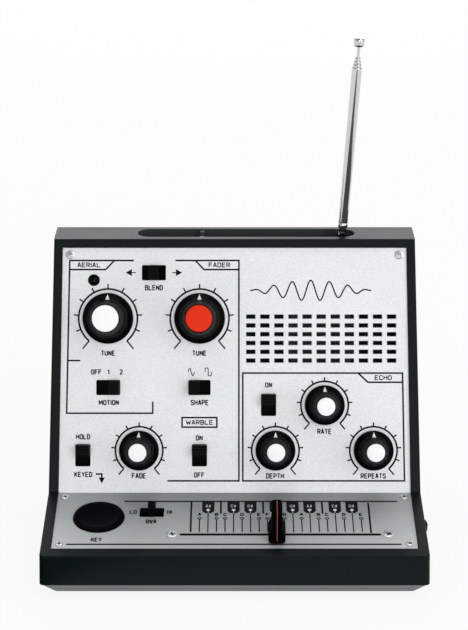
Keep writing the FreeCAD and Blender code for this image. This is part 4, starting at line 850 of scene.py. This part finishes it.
class THEREMIN_OT_key(bpy.types.Operator):
    """Turns the round dished key"""
    bl_idname = "theremin.key"
    bl_label = "Key"

    def execute(self, context):
        dish = arc_through((10.1, 1.2), (5.3, 0.2), (0.6, 0.06), 14)
        outline = [(2.5, -6.2), (2.5, -3.2), (14.15, -3.2), (14.15, -1.6), (12.66, -1.6), (12.68, 0.7),
                   (12.55, 1.0), (12.3, 1.15), (12.0, 1.2), (10.5, 1.2)] + dish.tolist()
        black = finish("satin_black_key", (0.0014, 0.0014, 0.002), 0.4, grain_mm=0.4, relief=0.006,
                       gloss=0.02)
        key = turned_piece("trigger_key_turned", outline, 128, LOWER @ seat(*KEY_SPOT), "trigger", black,
                           "lever_plastic")
        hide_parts("trigger_key")
        return {"FINISHED"}


class THEREMIN_OT_lamp(bpy.types.Operator):
    """Finishes the smoked lamp and its black ring"""
    bl_idname = "theremin.lamp"
    bl_label = "Lamp"

    def execute(self, context):
        ring = finish("black_ring", (0.002, 0.002, 0.0022), 0.35, grain_mm=0.4, gloss=0.06)
        dress(ring, "indicator_bezel")
        radius, shoulder, rise = 1.84, 0.25, 0.8
        dome = [(radius, -2.0), (radius, shoulder)]
        dome += [(radius * math.cos(a), shoulder + rise * math.sin(a)) for a in np.linspace(0.1, 1.5, 10)]
        smoke = finish("smoked_lens", (0.003, 0.0018, 0.0018), 0.3, grain_mm=1.0, relief=0.001, gloss=0.12)
        lens = turned_piece("indicator_lens_domed", dome, 48, UPPER @ seat(*LAMP_SPOT), "housing", smoke,
                            "lamp_lens")
        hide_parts("indicator_lens")
        return {"FINISHED"}


class THEREMIN_OT_screws(bpy.types.Operator):
    """Shapes the screws' domed heads and their cross recesses"""
    bl_idname = "theremin.screws"
    bl_label = "Screws"

    def execute(self, context):
        points, faces, sunk, count = [], [], [], 0
        for panel, spots, size, rise, shade in (
            (UPPER, SCREWS_UPPER, 2.2, 0.9, 0.4),
            (LOWER, SCREWS_LOWER, 2.0, 0.9, 1.0),
            (LOWER, TRACK_SCREWS, 2.75, 0.8, 1.0),
        ):
            for number, (across, up) in enumerate(spots):
                head, quads, cross = self.head(size, rise)
                turned = seat(across, up, 0, 20 + 37 * number, "Z")
                points.append(laid(head, panel @ turned))
                faces += [[k + count for k in quad] for quad in quads]
                # painted shade in each cross recess, at 0.4 of full strength on the upright's screws
                sunk.append(cross * shade)
                count += len(head)
        heads = new_piece("panel_screw_heads", np.vstack(points), faces, "housing", screw_finish(),
                          "screw_metal", 50)
        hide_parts("panel_screws")
        depth = heads.data.attributes.new("sunk", "FLOAT", "POINT")
        depth.data.foreach_set("value", np.concatenate(sunk))
        return {"FINISHED"}

    @staticmethod
    def head(size, rise):
        """A dome of height rise (1 - 0.72 r^2)^0.5 on a short wall, less a cross: two bars whose
        depth falls off smoothly at their sides and ends. Also gives the cross's share at each
        point."""
        r = np.concatenate([np.linspace(0.02, 1, 26) * size, [size, size * 0.55]])[::-1]
        a = np.linspace(0, 2 * np.pi, 72, endpoint=False)
        x, y = np.outer(r, np.cos(a)), np.outer(r, np.sin(a))
        near = np.minimum(np.abs(x), np.abs(y))
        bar = np.clip((0.2 * size - near) / (0.05 * size), 0, 1)
        bar *= np.clip((0.62 * size - np.hypot(x, y)) / (0.1 * size), 0, 1)
        height = rise * np.sqrt(np.clip(1 - 0.72 * (r / size) ** 2, 0, 1))[:, None] - 0.62 * rise * bar
        height[0], height[1] = 0.02, 0.03
        points, faces = closed_rings(np.stack([x, y, height], axis=-1))
        return points, faces, np.concatenate([bar.ravel(), [0.0, 1.0]])


class THEREMIN_OT_antenna(bpy.types.Operator):
    """Turns the telescopic antenna's tubes, mouths, rod and tip"""
    bl_idname = "theremin.antenna"
    bl_label = "Antenna"

    def execute(self, context):
        dress(hinge_finish(), "antenna_swivel", "antenna_pin", "antenna_knuckle")
        dressing = (chrome_finish(), "antenna_chrome")
        tube = [(1.72, 4.9), (2.1, 5.0), (2.4, 5.35), (2.5, 5.9), (2.5, 7.6), (2.42, 7.75), (2.42, 8.0),
                (2.5, 8.15), (2.5, 8.3), (2.5, 88.8), (2.5, 89.0), (2.45, 89.3), (2.3, 89.5), (2.2, 89.45),
                (2.14, 89.0)]
        barrel = turned_piece("antenna_tube_turned", tube, 64, MAST, "antenna_mast", *dressing)
        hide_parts("antenna_tube")
        for stage, outer, inner, start, end in (
            ("second", 2.12, 1.84, 10.6, 91.1),
            ("third", 1.74, 1.46, 11.8, 92.7),
            ("fourth", 1.36, 1.08, 13.0, 94.3),
        ):
            node = f"antenna_{stage}_section"
            wall = [(inner, start), (outer, start), (outer, end - 0.6), (outer, end - 0.5),
                    (outer - 0.07, end - 0.25), (outer - 0.2, end), (inner, end - 0.1),
                    (inner, start + 0.5)]
            points, faces = self.sleeve(wall, 48)
            piece = new_piece(f"{node}_turned", laid(points, MAST), faces, f"antenna_{stage}_stage",
                              *dressing)
            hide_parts(node)
        rod = [(0.96, 15.0), (0.96, 20.8), (0.78, 21.4), (0.78, 99.9)]
        core = turned_piece("antenna_rod_turned", rod, 40, MAST, "antenna_end", *dressing)
        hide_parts("antenna_rod")
        bead = [(0.9, 99.9), (2.0, 99.95), (2.5, 100.25), (2.7, 100.9), (2.7, 101.1), (2.7, 103.0),
                (2.7, 103.2), (2.6, 103.9), (2.25, 104.35), (1.5, 104.58), (0.6, 104.6)]
        tip = turned_piece("antenna_tip_turned", bead, 64, MAST, "antenna_end", *dressing)
        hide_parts("antenna_tip")
        return {"FINISHED"}

    @staticmethod
    def sleeve(profile, steps):
        """A closed sleeve: the profile's loop of (r, z) turned about the axis, its last row
        joined to its first."""
        rings = turned_rings(profile, steps)
        rows = len(rings)
        return rings.reshape(-1, 3), grid_faces(rows + 1, steps) % (rows * steps)


class THEREMIN_OT_volume(bpy.types.Operator):
    """Finishes the knurled volume wheel"""
    bl_idname = "theremin.volume"
    bl_label = "Volume wheel"

    def execute(self, context):
        dress(lever_finish(), "volume_wheel")
        return {"FINISHED"}


class THEREMIN_OT_stage(bpy.types.Operator):
    """Lays the pale floor, the soft lights and the camera"""
    bl_idname = "theremin.stage"
    bl_label = "Stage"

    def execute(self, context):
        scene = context.scene
        self.floor(scene)
        self.dark_card(scene)
        self.sky(scene)
        self.softboxes(scene)
        self.camera(scene)
        scene.view_settings.view_transform = "Standard"
        return {"FINISHED"}

    @staticmethod
    def softboxes(scene):
        """Square lamps in metres and watts, turned towards the object's middle and hidden from
        the camera."""
        middle = Vector((0, 0, 0.09))
        for name, spot, size, watts in (
            ("key_softbox", (1.15, -1.35, 1.45), 1.1, 8.2),
            ("right_softbox", (1.6, -1.5, 0.6), 1.1, 9.4),
            ("front_softbox", (0.0, -2.0, 0.45), 1.2, 9.3),
            ("top_softbox", (0.0, 0.3, 1.9), 1.4, 6.2),
            ("back_softbox", (0.0, 2.0, 0.88), 1.3, 9.3),
        ):
            lamp = bpy.data.lights.new(name, "AREA")
            lamp.size = size
            lamp.energy = watts
            holder = bpy.data.objects.new(name, lamp)
            holder.location = spot
            holder.rotation_euler = (middle - Vector(spot)).to_track_quat("-Z", "Y").to_euler()
            holder.visible_camera = False
            scene.collection.objects.link(holder)

    @staticmethod
    def camera(scene):
        """A long lens in front of the object, looking down on it."""
        sensor, focal_pixels, frame_pixels, downward = 36.0, 1950, 630, 20.5
        lens = bpy.data.cameras.new("camera")
        lens.sensor_fit = "VERTICAL"
        lens.sensor_height = sensor
        lens.lens = focal_pixels / frame_pixels * sensor
        lens.clip_start, lens.clip_end = 0.01, 50
        camera = bpy.data.objects.new("camera", lens)
        camera.location = (-0.0003, -scene.theremin.camera_distance, 0.4660)
        camera.rotation_euler = (math.radians(90 - downward), 0, 0)
        scene.collection.objects.link(camera)
        scene.camera = camera

    @staticmethod
    def laid_flat(scene, name, corners, height, made):
        """A flat face at a height, with its material, that isn't part of the object."""
        mesh = bpy.data.meshes.new(name)
        points = np.column_stack([corners, np.full(len(corners), height)])
        mesh.from_pydata(points.tolist(), [], [tuple(range(len(corners)))])
        mesh.materials.append(made)
        sheet = bpy.data.objects.new(name, mesh)
        scene.collection.objects.link(sheet)
        return sheet

    def floor(self, scene):
        """A square of floor on z = 0, far wider than the view. To the camera, in reflections and
        through glass it is most of the way to white, and it keeps the object's shadow."""
        paper = bpy.data.materials.new("pale_floor")
        paper.use_nodes = True
        tree = paper.node_tree
        shader = tree.nodes["Principled BSDF"]
        shader.inputs["Base Color"].default_value = (*scene.theremin.floor_colour, 1)
        shader.inputs["Roughness"].default_value = 0.9
        shader.inputs["Specular IOR Level"].default_value = 0.1
        glow = add_node(tree, "Emission", {"Color": (1.0, 1.0, 1.0)})["Emission"]
        path = add_node(tree, "LightPath")
        straight = reckon(tree, "MAXIMUM", path["Is Camera Ray"], path["Is Transmission Ray"])
        seen = reckon(tree, "MULTIPLY", reckon(tree, "MAXIMUM", straight, path["Is Glossy Ray"]), 0.88)
        surface = tree.nodes["Material Output"].inputs["Surface"]
        feed(tree, surface, mixed_shaders(tree, seen, shader.outputs["BSDF"], glow))
        corners = 6.0 * np.array([(-1, -1), (1, -1), (1, 1), (-1, 1)])
        floor = self.laid_flat(scene, "floor", corners, 0.0, paper)

    def dark_card(self, scene):
        """A dark card on the floor in front, met only by reflections, so that chrome has
        something dark to show. Its outline is a fan about the antenna's foot: at an angle t from
        straight ahead it runs from 0.19 m out to 0.52 + 0.22 cos(t)^2 + 0.36 cos(t)^12 m, where
        the cosine counts from 0 up, and it is wider on the left, so that a tube's right side
        stays bright."""
        t = np.radians(np.linspace(-130, 90, 67))
        ahead = np.maximum(np.cos(t), 0)
        far, near = 0.52 + 0.22 * ahead ** 2 + 0.36 * ahead ** 12, np.full(len(t), 0.19)
        rim = [np.stack([0.055 + r * np.sin(t), 0.05 - r * np.cos(t)], axis=1) for r in (far, near)]
        black = bpy.data.materials.new("black_card")
        black.use_nodes = True
        shader = black.node_tree.nodes["Principled BSDF"]
        shader.inputs["Base Color"].default_value = (0.08, 0.08, 0.08, 1)
        shader.inputs["Specular IOR Level"].default_value = 0
        card = self.laid_flat(scene, "dark_card", np.vstack([rim[0], rim[1][::-1]]), 0.004, black)
        card.visible_camera = card.visible_diffuse = False
        card.visible_transmission = card.visible_shadow = False

    @staticmethod
    def sky(scene):
        """A plain studio world: soft light on the object and white to the camera. In reflections
        its strength is 0.12 + 0.88 (0.5 + 0.5 y)^0.7 for a direction whose depth is y, of a
        pale grey, so that metal shows it pale behind and beside it and dimmer in front."""
        world = bpy.data.worlds.new("studio")
        scene.world = world
        world.use_nodes = True
        tree = world.node_tree
        light = tree.nodes["Background"]
        light.inputs["Color"].default_value = (0.97, 0.985, 1.0, 1)
        light.inputs["Strength"].default_value = 0.48
        white = add_node(tree, "Background", {"Color": (1, 1, 1), "Strength": 1.0})["Background"]
        depth = parts_of(tree, add_node(tree, "TexCoord")["Generated"])["Y"]
        half = add_node(tree, "MapRange", {"Value": depth, "From Min": -1.0})["Result"]
        room = {"Value": reckon(tree, "POWER", half, 0.7), "To Min": 0.12, "To Max": 1.0}
        strength = add_node(tree, "MapRange", room)["Result"]
        grey = add_node(tree, "Background", {"Color": (0.8, 0.8, 0.8), "Strength": strength})
        path = add_node(tree, "LightPath")
        straight = reckon(tree, "MAXIMUM", path["Is Camera Ray"], path["Is Transmission Ray"])
        reflected = path["Is Glossy Ray"]
        lit = mixed_shaders(tree, reflected, light.outputs["Background"], grey["Background"])
        surface = tree.nodes["World Output"].inputs["Surface"]
        feed(tree, surface, mixed_shaders(tree, straight, lit, white))


OPERATORS = (
    THEREMIN_OT_stage, THEREMIN_OT_housing, THEREMIN_OT_inner_parts, THEREMIN_OT_panel,
    THEREMIN_OT_lettering, THEREMIN_OT_knobs, THEREMIN_OT_switch_levers, THEREMIN_OT_note_slider,
    THEREMIN_OT_key, THEREMIN_OT_lamp, THEREMIN_OT_screws, THEREMIN_OT_antenna, THEREMIN_OT_volume,
)


class THEREMIN_PT_sidebar(bpy.types.Panel):
    """Lists the theremin's settings and the steps that build it"""
    bl_idname = "THEREMIN_PT_sidebar"
    bl_label = "Desktop Theremin"
    bl_space_type = "VIEW_3D"
    bl_region_type = "UI"
    bl_category = "Theremin"

    def draw(self, context):
        settings = context.scene.theremin
        for name in ThereminSettings.__annotations__:
            self.layout.prop(settings, name)
        for operator in OPERATORS:
            self.layout.operator(operator.bl_idname)


CLASSES = (ThereminSettings, *OPERATORS, THEREMIN_PT_sidebar)


def register():
    for cls in CLASSES:
        bpy.utils.register_class(cls)
    bpy.types.Scene.theremin = bpy.props.PointerProperty(type=ThereminSettings)


def unregister():
    del bpy.types.Scene.theremin
    for cls in reversed(CLASSES):
        bpy.utils.unregister_class(cls)


def main():
    register()
    for operator in OPERATORS:
        group, name = operator.bl_idname.split(".")
        getattr(getattr(bpy.ops, group), name)()
    bpy.context.view_layer.update()


if __name__ == "__main__":
    main()
